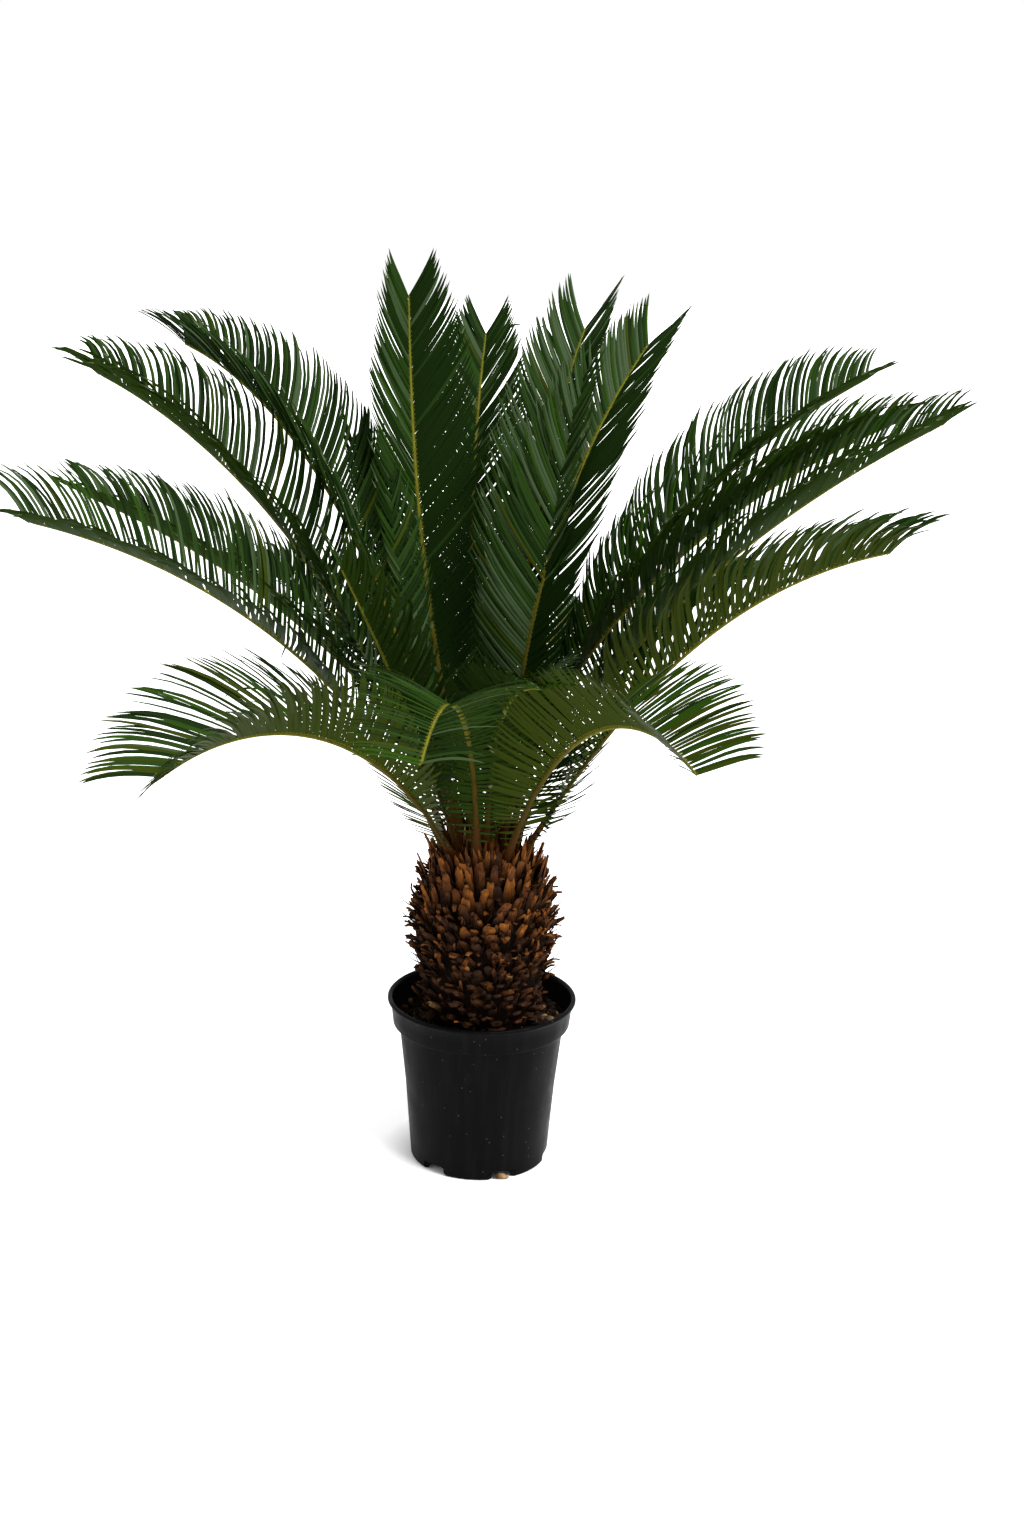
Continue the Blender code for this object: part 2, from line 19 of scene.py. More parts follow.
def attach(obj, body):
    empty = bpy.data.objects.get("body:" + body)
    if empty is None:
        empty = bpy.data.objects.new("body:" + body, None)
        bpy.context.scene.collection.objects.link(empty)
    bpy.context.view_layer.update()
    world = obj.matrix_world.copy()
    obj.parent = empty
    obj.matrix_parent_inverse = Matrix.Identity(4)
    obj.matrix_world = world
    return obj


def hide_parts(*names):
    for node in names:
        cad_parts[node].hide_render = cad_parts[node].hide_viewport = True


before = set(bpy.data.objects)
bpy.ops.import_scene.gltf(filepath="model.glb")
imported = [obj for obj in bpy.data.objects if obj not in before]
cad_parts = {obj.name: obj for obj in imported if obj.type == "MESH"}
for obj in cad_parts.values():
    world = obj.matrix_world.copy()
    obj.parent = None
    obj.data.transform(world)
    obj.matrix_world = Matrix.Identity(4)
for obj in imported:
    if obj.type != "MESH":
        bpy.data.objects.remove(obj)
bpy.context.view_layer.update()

LOG = logging.getLogger("sago_palm")
Colour = tuple[float, float, float]
Point2 = tuple[float, float]
Point3 = tuple[float, float, float]
Table = tuple[Point2, ...]
UP = Vector((0.0, 0.0, 1.0))
GOLDEN_ANGLE = math.radians(137.508)
# The numbers of a Mix node's colour sockets.
MIX_FIRST = 6
MIX_SECOND = 7
MIX_RESULT = 2


# ---------------------------------------------------------------- small sums
def mix(first: float, second: float, share: float) -> float:
    """The value that lies a share of the way from the first to the second."""
    return first + (second - first) * share


def ramp(value: float, low: float, high: float) -> float:
    """How far a value has gone from low to high, from 0 to 1 and smooth at both ends."""
    share = min(1.0, max(0.0, (value - low) / (high - low)))
    return share * share * (3.0 - 2.0 * share)


def table(points: Table, place: float) -> float:
    """Reads a value between the points of a short table of (place, value).

    Args:
        points: the table, in order of place.
        place: where to read it.

    Returns:
        The value there, straight between its neighbours.
    """
    for (first, low), (second, high) in zip(points, points[1:]):
        if place <= second:
            return mix(low, high, max(0.0, place - first) / (second - first))
    return points[-1][1]


def polar(radius: float, turn: float, height: float = 0.0) -> Vector:
    """The point at a radius and a heading in radians round the trunk's axis, at a height."""
    return Vector((radius * math.cos(turn), radius * math.sin(turn), height))


# ---------------------------------------------------------------- meshes
@dataclass
class Skein:
    """Points, faces and shades of many small forms, which end up as one mesh.

    along is an attribute on the points, which says how far up its form a point lies.
    """

    points: list[Vector] = field(default_factory=list)
    along: list[float] = field(default_factory=list)
    faces: list[tuple[int, ...]] = field(default_factory=list)
    shades: list[int] = field(default_factory=list)

    def sleeve(
        self,
        rings: Sequence[Sequence[Vector]],
        shades: Sequence[int],
        tip: Vector | None = None,
        shares: Sequence[float] | None = None,
    ) -> None:
        """Adds a closed sleeve through rings of points.

        Args:
            rings: rings with the same count of points, each counter-clockwise seen from its end.
            shades: the material of each stretch between rings, and of the tip.
            tip: the point that the last ring closes to, or None for a flat end.
            shares: the value of the attribute "along" on each ring.
        """
        first = len(self.points)
        count = len(rings[0])
        shares = shares or [index / len(rings) for index in range(len(rings))]
        for ring, share in zip(rings, shares):
            self.points.extend(ring)
            self.along.extend([share] * count)
        for row in range(len(rings) - 1):
            low = first + row * count
            for index in range(count):
                after = (index + 1) % count
                self.faces.append((low + index, low + after, low + count + after, low + count + index))
                self.shades.append(shades[min(row, len(shades) - 1)])
        self.faces.append(tuple(range(first + count - 1, first - 1, -1)))
        self.shades.append(shades[0])
        last = first + (len(rings) - 1) * count
        if tip is None:
            self.faces.append(tuple(range(last, last + count)))
            self.shades.append(shades[-1])
            return
        self.points.append(tip)
        self.along.append(1.0)
        for index in range(count):
            self.faces.append((last + index, last + (index + 1) % count, len(self.points) - 1))
            self.shades.append(shades[-1])

    def tube(self, path: Sequence[Vector], radii: Sequence[float], sides: int, shade: int) -> None:
        """Adds a round tapering hair, spine or root along a path, closed to a point.

        Args:
            path: the points that its middle runs through.
            radii: its radius at each point but the last.
            sides: how many faces go round it.
            shade: its material.
        """
        rings = []
        askew = Vector((0.31, 0.17, 0.93))
        across = askew.cross(path[1] - path[0]).normalized()
        for index, place in enumerate(path[:-1]):
            tangent = (path[index + 1] - path[max(0, index - 1)]).normalized()
            across = (across - tangent * across.dot(tangent)).normalized()
            other = tangent.cross(across)
            turns = [math.tau * side / sides for side in range(sides)]
            radius = radii[index]
            rings.append([place + (across * math.cos(t) + other * math.sin(t)) * radius for t in turns])
        self.sleeve(rings, [shade], tip=path[-1])

    def build(
        self, name: str, materials: Sequence[bpy.types.Material], crease: float = 60.0
    ) -> bpy.types.Object:
        """Makes the one object.

        Args:
            name: the piece's name.
            materials: one for each shade.
            crease: faces that meet at more than this angle, in degrees, keep a sharp edge.

        Returns:
            The new object, at the origin.
        """
        mesh = bpy.data.meshes.new(name)
        mesh.from_pydata(self.points, [], self.faces)
        mesh.polygons.foreach_set("material_index", self.shades)
        mesh.attributes.new("along", "FLOAT", "POINT").data.foreach_set("value", self.along)
        for material in materials:
            mesh.materials.append(material)
        mesh.update()
        mesh.shade_smooth()
        mesh.set_sharp_from_angle(angle=math.radians(crease))
        piece = bpy.data.objects.new(name, mesh)
        bpy.context.scene.collection.objects.link(piece)
        return piece


def section(place: Vector, across: Vector, out: Vector, outline: Sequence[Point2]) -> list[Vector]:
    """A cross-section's outline, drawn at a place with two directions."""
    return [place + across * u + out * v for u, v in outline]


def only(piece: bpy.types.Object) -> None:
    """Selects this piece alone and makes it the active one."""
    bpy.ops.object.select_all(action="DESELECT")
    bpy.context.view_layer.objects.active = piece
    piece.select_set(True)


def turned(name: str, profile: Sequence[Point2], steps: int) -> bpy.types.Object:
    """Models a closed turned piece by drawing a circle out ring by ring.

    Args:
        name: the piece's name.
        profile: (radius, height) points, from near the axis round to near the axis again.
        steps: how many faces go round it.

    Returns:
        The new object, at the origin, with its faces outwards.
    """
    bpy.ops.object.select_all(action="DESELECT")
    radius, height = profile[0]
    bpy.ops.mesh.primitive_circle_add(vertices=steps, radius=radius, location=(0, 0, height))
    piece = bpy.context.active_object
    piece.name = name
    bpy.ops.object.transform_apply(location=True, rotation=True, scale=True)
    bpy.ops.object.mode_set(mode="EDIT")
    bpy.ops.mesh.select_all(action="SELECT")
    for (before, low), (after, high) in zip(profile, profile[1:]):
        bpy.ops.mesh.extrude_region_move(TRANSFORM_OT_translate={"value": (0, 0, high - low)})
        size = after / before
        bpy.ops.transform.resize(value=(size, size, 1), center_override=(0, 0, high))
    bpy.ops.mesh.edge_face_add()
    bpy.ops.mesh.select_all(action="DESELECT")
    bpy.ops.mesh.select_non_manifold()
    bpy.ops.mesh.edge_face_add()
    bpy.ops.mesh.select_all(action="SELECT")
    bpy.ops.mesh.normals_make_consistent(inside=False)
    bpy.ops.object.mode_set(mode="OBJECT")
    return piece


def arc(centre: Point2, radius: float, start: float, end: float, steps: int) -> list[Point2]:
    """Points along an arc of a profile, with its angles in degrees from the outward direction."""
    turns = [math.radians(mix(start, end, index / steps)) for index in range(steps + 1)]
    return [(centre[0] + radius * math.cos(t), centre[1] + radius * math.sin(t)) for t in turns]


def wear(piece: bpy.types.Object, slot: str, *nodes: str) -> None:
    """Puts a finished piece on the plant, in the place of CAD nodes, and reports it.

    Args:
        piece: the piece.
        slot: the material slot that it belongs to; not used.
        nodes: the CAD nodes that it stands for.
    """
    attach(piece, "root")
    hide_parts(*nodes)
    LOG.info("%s: %d faces", piece.name, len(piece.data.polygons))


# ---------------------------------------------------------------- shader groups
class Wiring:
    """Short ways to add and join the nodes of one tree."""

    def __init__(self, tree: bpy.types.NodeTree) -> None:
        """Takes the tree to work on."""
        self.tree = tree

    def add(self, kind: str, **values: object) -> bpy.types.Node:
        """Adds a node and sets its properties and sockets.

        Args:
            kind: the node's type.
            values: properties by name, and sockets by name, or by number after an underscore.

        Returns:
            The new node.
        """
        node = self.tree.nodes.new(kind)
        for name, value in values.items():
            if hasattr(node, name):
                setattr(node, name, value)
                continue
            number = name[1:]
            socket = int(number) if number.isdigit() else name.replace("_", " ")
            node.inputs[socket].default_value = value
        return node

    def join(self, source: bpy.types.NodeSocket, target: bpy.types.NodeSocket) -> None:
        """Links two sockets."""
        self.tree.links.new(source, target)

    def place(self) -> bpy.types.NodeSocket:
        """The Object coordinates."""
        return self.add("ShaderNodeTexCoord").outputs["Object"]

    def group(self, tree: bpy.types.NodeTree, **values: float) -> bpy.types.Node:
        """Adds a shared group, fed with the Object coordinates.

        Args:
            tree: the group.
            values: its own values here, by the names of its inputs.

        Returns:
            The new node.
        """
        node = self.add("ShaderNodeGroup")
        node.node_tree = tree
        for name, value in values.items():
            node.inputs[name.capitalize()].default_value = value
        self.join(self.place(), node.inputs["Vector"])
        return node

    def blend(
        self,
        share: bpy.types.NodeSocket,
        first: bpy.types.NodeSocket | Colour,
        second: bpy.types.NodeSocket | Colour,
    ) -> bpy.types.NodeSocket:
        """Mixes two colours, each a socket or plain numbers.

        Args:
            share: how much of the second there is, from 0 to 1.
            first: the first colour.
            second: the second colour.

        Returns:
            The mixed colour.
        """
        node = self.add("ShaderNodeMix", data_type="RGBA")
        self.join(share, node.inputs["Factor"])
        for number, colour in ((MIX_FIRST, first), (MIX_SECOND, second)):
            if isinstance(colour, bpy.types.NodeSocket):
                self.join(colour, node.inputs[number])
            else:
                node.inputs[number].default_value = (*colour, 1.0)
        return node.outputs[MIX_RESULT]

    def spread(
        self, value: bpy.types.NodeSocket, low: float, high: float, start: float = 0.0, end: float = 1.0
    ) -> bpy.types.NodeSocket:
        """Maps a value that goes from low to high to one that goes from start to end.

        Args:
            value: the value.
            low: where it starts.
            high: where it ends.
            start: the result at low and below.
            end: the result at high and above.

        Returns:
            The mapped value.
        """
        node = self.add("ShaderNodeMapRange")
        self.join(value, node.inputs["Value"])
        for name, number in (("From Min", low), ("From Max", high), ("To Min", start), ("To Max", end)):
            node.inputs[name].default_value = number
        return node.outputs["Result"]

    def relief(
        self, height: bpy.types.NodeSocket, strength: float, distance: float
    ) -> bpy.types.NodeSocket:
        """Raises the surface by a value.

        Args:
            height: the value.
            strength: how much of it shows, from 0 to 1.
            distance: how high it stands, in metres.

        Returns:
            The bumped normal.
        """
        node = self.add("ShaderNodeBump", Strength=strength, Distance=distance)
        self.join(height, node.inputs["Height"])
        return node.outputs["Normal"]


def new_group(
    name: str, inputs: Sequence[str], output: str
) -> tuple[Wiring, bpy.types.Node, bpy.types.Node]:
    """Starts a shader group that takes a vector and plain values and puts out one value.

    Args:
        name: the group's name.
        inputs: the names of its plain values.
        output: the name of what it puts out.

    Returns:
        The wiring of its tree, its input node and its output node.
    """
    tree = bpy.data.node_groups.new(name, "ShaderNodeTree")
    tree.interface.new_socket("Vector", in_out="INPUT", socket_type="NodeSocketVector")
    for socket in inputs:
        tree.interface.new_socket(socket, in_out="INPUT", socket_type="NodeSocketFloat")
    tree.interface.new_socket(output, in_out="OUTPUT", socket_type="NodeSocketFloat")
    wiring = Wiring(tree)
    return wiring, wiring.add("NodeGroupInput"), wiring.add("NodeGroupOutput")


def grain_group() -> bpy.types.NodeTree:
    """Cloudy grain, drawn out along Z by Stretch: fibres, streaks, or even mottling at 1.

    Returns:
        The shared group.
    """
    wiring, enter, leave = new_group("grain", ("Scale", "Stretch", "Detail"), "Value")
    inverse = wiring.add("ShaderNodeMath", operation="DIVIDE", _0=1.0)
    wiring.join(enter.outputs["Stretch"], inverse.inputs[1])
    factors = wiring.add("ShaderNodeCombineXYZ", X=1.0, Y=1.0)
    wiring.join(inverse.outputs[0], factors.inputs["Z"])
    squeezed = wiring.add("ShaderNodeVectorMath", operation="MULTIPLY")
    wiring.join(enter.outputs["Vector"], squeezed.inputs[0])
    wiring.join(factors.outputs[0], squeezed.inputs[1])
    cloud = wiring.add("ShaderNodeTexNoise", Roughness=0.6)
    wiring.join(squeezed.outputs[0], cloud.inputs["Vector"])
    wiring.join(enter.outputs["Scale"], cloud.inputs["Scale"])
    wiring.join(enter.outputs["Detail"], cloud.inputs["Detail"])
    wiring.join(cloud.outputs["Fac"], leave.inputs["Value"])
    return wiring.tree


def specks_group() -> bpy.types.NodeTree:
    """Small round specks, such as dust and grit: Share of the cells hold one of this Size.

    Returns:
        The shared group.
    """
    wiring, enter, leave = new_group("specks", ("Scale", "Share", "Size"), "Mask")
    cells = wiring.add("ShaderNodeTexVoronoi")
    wiring.join(enter.outputs["Vector"], cells.inputs["Vector"])
    wiring.join(enter.outputs["Scale"], cells.inputs["Scale"])
    near = wiring.add("ShaderNodeMath", operation="LESS_THAN")
    wiring.join(cells.outputs["Distance"], near.inputs[0])
    wiring.join(enter.outputs["Size"], near.inputs[1])
    parts = wiring.add("ShaderNodeSeparateColor")
    wiring.join(cells.outputs["Color"], parts.inputs[0])
    chosen = wiring.add("ShaderNodeMath", operation="LESS_THAN")
    wiring.join(parts.outputs[0], chosen.inputs[0])
    wiring.join(enter.outputs["Share"], chosen.inputs[1])
    both = wiring.add("ShaderNodeMath", operation="MULTIPLY")
    wiring.join(near.outputs[0], both.inputs[0])
    wiring.join(chosen.outputs[0], both.inputs[1])
    wiring.join(both.outputs[0], leave.inputs["Mask"])
    return wiring.tree


GRAIN = grain_group()
SPECKS = specks_group()


# ---------------------------------------------------------------- finishes
def new_material(
    name: str, roughness: float, specular: float
) -> tuple[bpy.types.Material, Wiring, bpy.types.Node]:
    """Starts a material.

    Args:
        name: its name.
        roughness: how rough its surface is, from 0 to 1.
        specular: how strongly it shines, from 0 to 1.

    Returns:
        The material, the wiring of its tree and its Principled shader.
    """
    material = bpy.data.materials.new(name)
    material.use_nodes = True
    shader = material.node_tree.nodes["Principled BSDF"]
    shader.inputs["Roughness"].default_value = roughness
    shader.inputs["Specular IOR Level"].default_value = specular
    return material, Wiring(material.node_tree), shader


@dataclass(frozen=True)
class LeafFinish:
    """One plain tint of leaflet, with fine ribs in its relief."""

    name: str
    colour: Colour
    roughness: float = 0.5
    specular: float = 0.02

    def material(self) -> bpy.types.Material:
        """Makes the material.

        Returns:
            The new material.
        """
        material, wiring, shader = new_material(self.name, self.roughness, self.specular)
        shader.inputs["Base Color"].default_value = (*self.colour, 1.0)
        ribs = wiring.group(GRAIN, scale=900.0, stretch=3.0, detail=1.0)
        wiring.join(wiring.relief(ribs.outputs[0], 0.25, 0.0004), shader.inputs["Normal"])
        return material


@dataclass(frozen=True)
class StalkFinish:
    """A leaf stalk: russet at its foot, yellow-green at its tip and mottled.

    foot_reach and tip_reach are the shares of its length over which one colour turns to the next.
    """

    name: str = "leaf_stalk"
    foot: Colour = (0.034, 0.011, 0.0025)
    middle: Colour = (0.044, 0.032, 0.004)
    tip: Colour = (0.125, 0.130, 0.014)
    foot_reach: Point2 = (0.03, 0.22)
    tip_reach: Point2 = (0.26, 0.75)
    mottle_shade: float = 0.45
    roughness: float = 0.48
    specular: float = 0.015

    def material(self) -> bpy.types.Material:
        """Makes the material.

        Returns:
            The new material.
        """
        material, wiring, shader = new_material(self.name, self.roughness, self.specular)
        along = wiring.add("ShaderNodeAttribute", attribute_name="along")
        above_foot = wiring.spread(along.outputs["Fac"], *self.foot_reach)
        lower = wiring.blend(above_foot, self.foot, self.middle)
        near_tip = wiring.spread(along.outputs["Fac"], *self.tip_reach)
        whole = wiring.blend(near_tip, lower, self.tip)
        cloud = wiring.group(GRAIN, scale=140.0, stretch=4.0, detail=4.0)
        dark = tuple(value * self.mottle_shade for value in self.foot)
        mottle = wiring.spread(cloud.outputs[0], 0.5, 0.78, 0.0, 0.6)
        mottled = wiring.blend(mottle, whole, dark)
        wiring.join(mottled, shader.inputs["Base Color"])
        wiring.join(wiring.relief(cloud.outputs[0], 0.4, 0.001), shader.inputs["Normal"])
        return material


@dataclass(frozen=True)
class BarkFinish:
    """Dried leaf base, husk, chip or root: fibres of two colours, darker towards its foot.

    foot_reach is the share of its length over which its darker foot fades out.
    """

    name: str
    light: Colour
    dark: Colour
    roughness: float = 0.8
    foot_darkness: float = 0.25
    foot_reach: Point2 = (0.20, 0.62)
    specular: float = 0.02

    def material(self) -> bpy.types.Material:
        """Makes the material.

        Returns:
            The new material.
        """
        material, wiring, shader = new_material(self.name, self.roughness, self.specular)
        fibres = wiring.group(GRAIN, scale=420.0, stretch=5.0, detail=4.0)
        patches = wiring.group(GRAIN, scale=75.0, stretch=1.3, detail=3.0)
        streaks = wiring.spread(fibres.outputs[0], 0.38, 0.72)
        streaked = wiring.blend(streaks, self.light, self.dark)
        deep_tone = tuple(value * self.foot_darkness for value in self.dark)
        weather = wiring.spread(patches.outputs[0], 0.50, 0.75, 0.0, 0.8)
        weathered = wiring.blend(weather, streaked, deep_tone)
        along = wiring.add("ShaderNodeAttribute", attribute_name="along")
        above_foot = wiring.spread(along.outputs["Fac"], *self.foot_reach)
        # Darker towards the foot: the deepest tone at the foot, fading out over foot_reach.
        whole = wiring.blend(above_foot, deep_tone, weathered)
        wiring.join(whole, shader.inputs["Base Color"])
        wiring.join(wiring.relief(fibres.outputs[0], 0.7, 0.0015), shader.inputs["Normal"])
        return material


@dataclass(frozen=True)
class CompostFinish:
    """Damp compost: dark crumbs with paler grit."""

    name: str = "compost"
    dark: Colour = (0.006, 0.0045, 0.0035)
    light: Colour = (0.022, 0.014, 0.009)
    grit: Colour = (0.05, 0.035, 0.022)
    roughness: float = 0.92
    specular: float = 0.05

    def material(self) -> bpy.types.Material:
        """Makes the material.

        Returns:
            The new material.
        """
        material, wiring, shader = new_material(self.name, self.roughness, self.specular)
        crumbs = wiring.group(GRAIN, scale=230.0, stretch=1.0, detail=6.0)
        grit = wiring.group(SPECKS, scale=170.0, share=0.10, size=0.22)
        damp = wiring.spread(crumbs.outputs[0], 0.42, 0.7)
        soil = wiring.blend(damp, self.dark, self.light)
        wiring.join(wiring.blend(grit.outputs[0], soil, self.grit), shader.inputs["Base Color"])
        wiring.join(wiring.relief(crumbs.outputs[0], 1.0, 0.004), shader.inputs["Normal"])
        return material


@dataclass(frozen=True)
class PlasticFinish:
    """Moulded black plastic that has stood in a nursery: streaks, scuffs and dust."""

    name: str = "black_plastic"
    colour: Colour = (0.0010, 0.0010, 0.0012)
    scuff: Colour = (0.0042, 0.0042, 0.0046)
    dust: Colour = (0.05, 0.046, 0.038)
    roughness: float = 0.4
    specular: float = 0.035

    def material(self) -> bpy.types.Material:
        """Makes the material.

        Returns:
            The new material.
        """
        material, wiring, shader = new_material(self.name, self.roughness, self.specular)
        streaks = wiring.group(GRAIN, scale=60.0, stretch=14.0, detail=5.0)
        scuffs = wiring.group(GRAIN, scale=38.0, stretch=1.6, detail=8.0)
        dust = wiring.group(SPECKS, scale=260.0, share=0.035, size=0.2)
        streak = wiring.spread(streaks.outputs[0], 0.48, 0.75, 0.0, 0.7)
        streaked = wiring.blend(streak, self.colour, self.scuff)
        scuff = wiring.spread(scuffs.outputs[0], 0.60, 0.78, 0.0, 0.5)
        scuffed = wiring.blend(scuff, streaked, self.scuff)
        wiring.join(wiring.blend(dust.outputs[0], scuffed, self.dust), shader.inputs["Base Color"])
        wiring.join(wiring.spread(scuffs.outputs[0], 0.3, 0.75, 0.33, 0.55), shader.inputs["Roughness"])
        wiring.join(wiring.relief(scuffs.outputs[0], 0.12, 0.001), shader.inputs["Normal"])
        return material


class Tint(Enum):
    """The tints of leaflet, in the order of a leaflet piece's materials."""

    DEEP = LeafFinish("leaf_deep", (0.0060, 0.0165, 0.0020))
    FOREST = LeafFinish("leaf_forest", (0.0135, 0.0330, 0.0050))
    # A greyish blue-green that paints the sheen of glossy leaflets: dealt at random among the other tints,
    # and most on rows that face the key lamp.
    BLUISH = LeafFinish("leaf_painted_gloss", (0.0320, 0.0560, 0.0200), 0.45, 0.05)
    FRESH = LeafFinish("leaf_fresh", (0.0150, 0.0430, 0.0022))
    OLIVE = LeafFinish("leaf_olive", (0.0240, 0.0350, 0.0022))
    UNDER = LeafFinish("leaf_underside", (0.0130, 0.0290, 0.0022))
    UNDER_OLIVE = LeafFinish("leaf_underside_olive", (0.0185, 0.0290, 0.0010))
    BASE = LeafFinish("leaflet_base", (0.070, 0.066, 0.007))
    DRY = LeafFinish("leaflet_dry_tip", (0.085, 0.105, 0.050), 0.7)


TINTS = list(Tint)
# The tints that each tint setting's weights are for, from DEEP to OLIVE.
UPPER_TINTS = range(5)


# ---------------------------------------------------------------- pot
@dataclass
class Pot:
    """The nursery pot: rolled rim, collar, tapering body, gutter under the floor and notches."""

    height: float = 0.235
    rim: float = 0.130
    rim_depth: float = 0.008
    collar_top: float = 0.1250
    collar_foot: float = 0.1220
    collar_level: float = 0.197
    body_top: float = 0.1120
    body_foot: float = 0.0955
    wall: float = 0.0024
    floor: float = 0.068
    gutter_top: float = 0.011
    gutter_wall: float = 0.0916
    foot_round: float = 0.0030
    notches: int = 6
    notch_width: float = 0.040
    notch_height: float = 0.0122
    first_notch: float = -69.0
    notch_depth: float = 0.014
    notch_round: float = 0.0045
    crease: float = 38.0
    steps: int = 160

    def profile(self) -> list[Point2]:
        """The wall and floor: up the inside, over the rolled rim, down the outside and under.

        Returns:
            Its (radius, height) points.
        """
        inner = self.collar_top - self.wall
        inside = self.body_top - self.wall
        ledge = self.collar_level
        return [
            (0.002, self.wall),
            (self.floor - 0.001, self.wall),
            (self.floor + 0.001, self.gutter_top + self.wall),
            (self.body_foot - self.wall, self.gutter_top + self.wall + 0.001),
            *arc((inside + 0.003, ledge - 0.0015), 0.003, 180, 100, 3),
            (self.collar_foot - self.wall - 0.0014, ledge + 0.0022),
            (self.collar_foot - self.wall, ledge + 0.0040),
            (inner, self.height - self.rim_depth),
            (inner + 0.0008, self.height - 0.0020),
            (inner + 0.0022, self.height - 0.0004),
            *arc((self.rim - 0.0032, self.height - 0.0032), 0.0032, 90, -60, 8),
            (self.collar_top + 0.0012, self.height - self.rim_depth + 0.0006),
            (self.collar_top, self.height - self.rim_depth - 0.0010),
            (mix(self.collar_top, self.collar_foot, 0.5), mix(self.height - self.rim_depth, ledge, 0.5)),
            *arc((self.collar_foot - 0.0016, ledge + 0.0016), 0.0016, 0, -86, 4),
            *reversed(arc((self.body_top + 0.0028, ledge - 0.0030), 0.0028, 180, 95, 3)),
            (self.body_top - 0.0002, ledge - 0.016),
            (mix(self.body_top, self.body_foot, 0.5), 0.108),
            (self.body_foot + 0.0018, 0.026),
            *arc((self.body_foot - self.foot_round, self.foot_round), self.foot_round, 8, -90, 5),
            (self.gutter_wall, 0.0008),
            (self.gutter_wall - 0.0004, self.gutter_top),
            (self.floor + 0.0045, self.gutter_top),
            (self.floor + 0.0030, 0.0),
            (0.002, 0.0),
        ]

    def notch_cutter(self, index: int) -> bpy.types.Object:
        """Models a rounded block where a drainage notch opens the foot of the wall.

        Args:
            index: which notch it is.

        Returns:
            The block, which cuts the notch.
        """
        turn = math.radians(self.first_notch + 360.0 * index / self.notches)
        bpy.ops.object.select_all(action="DESELECT")
        bpy.ops.mesh.primitive_cube_add(size=1.0)
        cutter = bpy.context.active_object
        cutter.dimensions = (self.notch_depth, self.notch_width, 2 * self.notch_height)
        bpy.ops.object.transform_apply(location=True, rotation=True, scale=True)
        bpy.ops.object.mode_set(mode="EDIT")
        bpy.ops.mesh.select_all(action="SELECT")
        bpy.ops.mesh.bevel(offset=self.notch_round, segments=3)
        bpy.ops.object.mode_set(mode="OBJECT")
        cutter.location = polar(self.body_foot + 0.002, turn)
        cutter.rotation_euler = (0.0, 0.0, turn)
        return cutter

    def build(self) -> None:
        """Models, cuts and dresses the pot."""
        pot = turned("nursery_pot", self.profile(), self.steps)
        for index in range(self.notches):
            cutter = self.notch_cutter(index)
            only(pot)
            cut = pot.modifiers.new("notch", "BOOLEAN")
            cut.operation = "DIFFERENCE"
            cut.object = cutter
            bpy.ops.object.modifier_apply(modifier=cut.name)
            bpy.data.objects.remove(cutter, do_unlink=True)
        only(pot)
        bpy.ops.object.shade_smooth_by_angle(angle=math.radians(self.crease))
        pot.data.materials.append(PlasticFinish().material())
        wear(pot, "black_plastic", "pot")


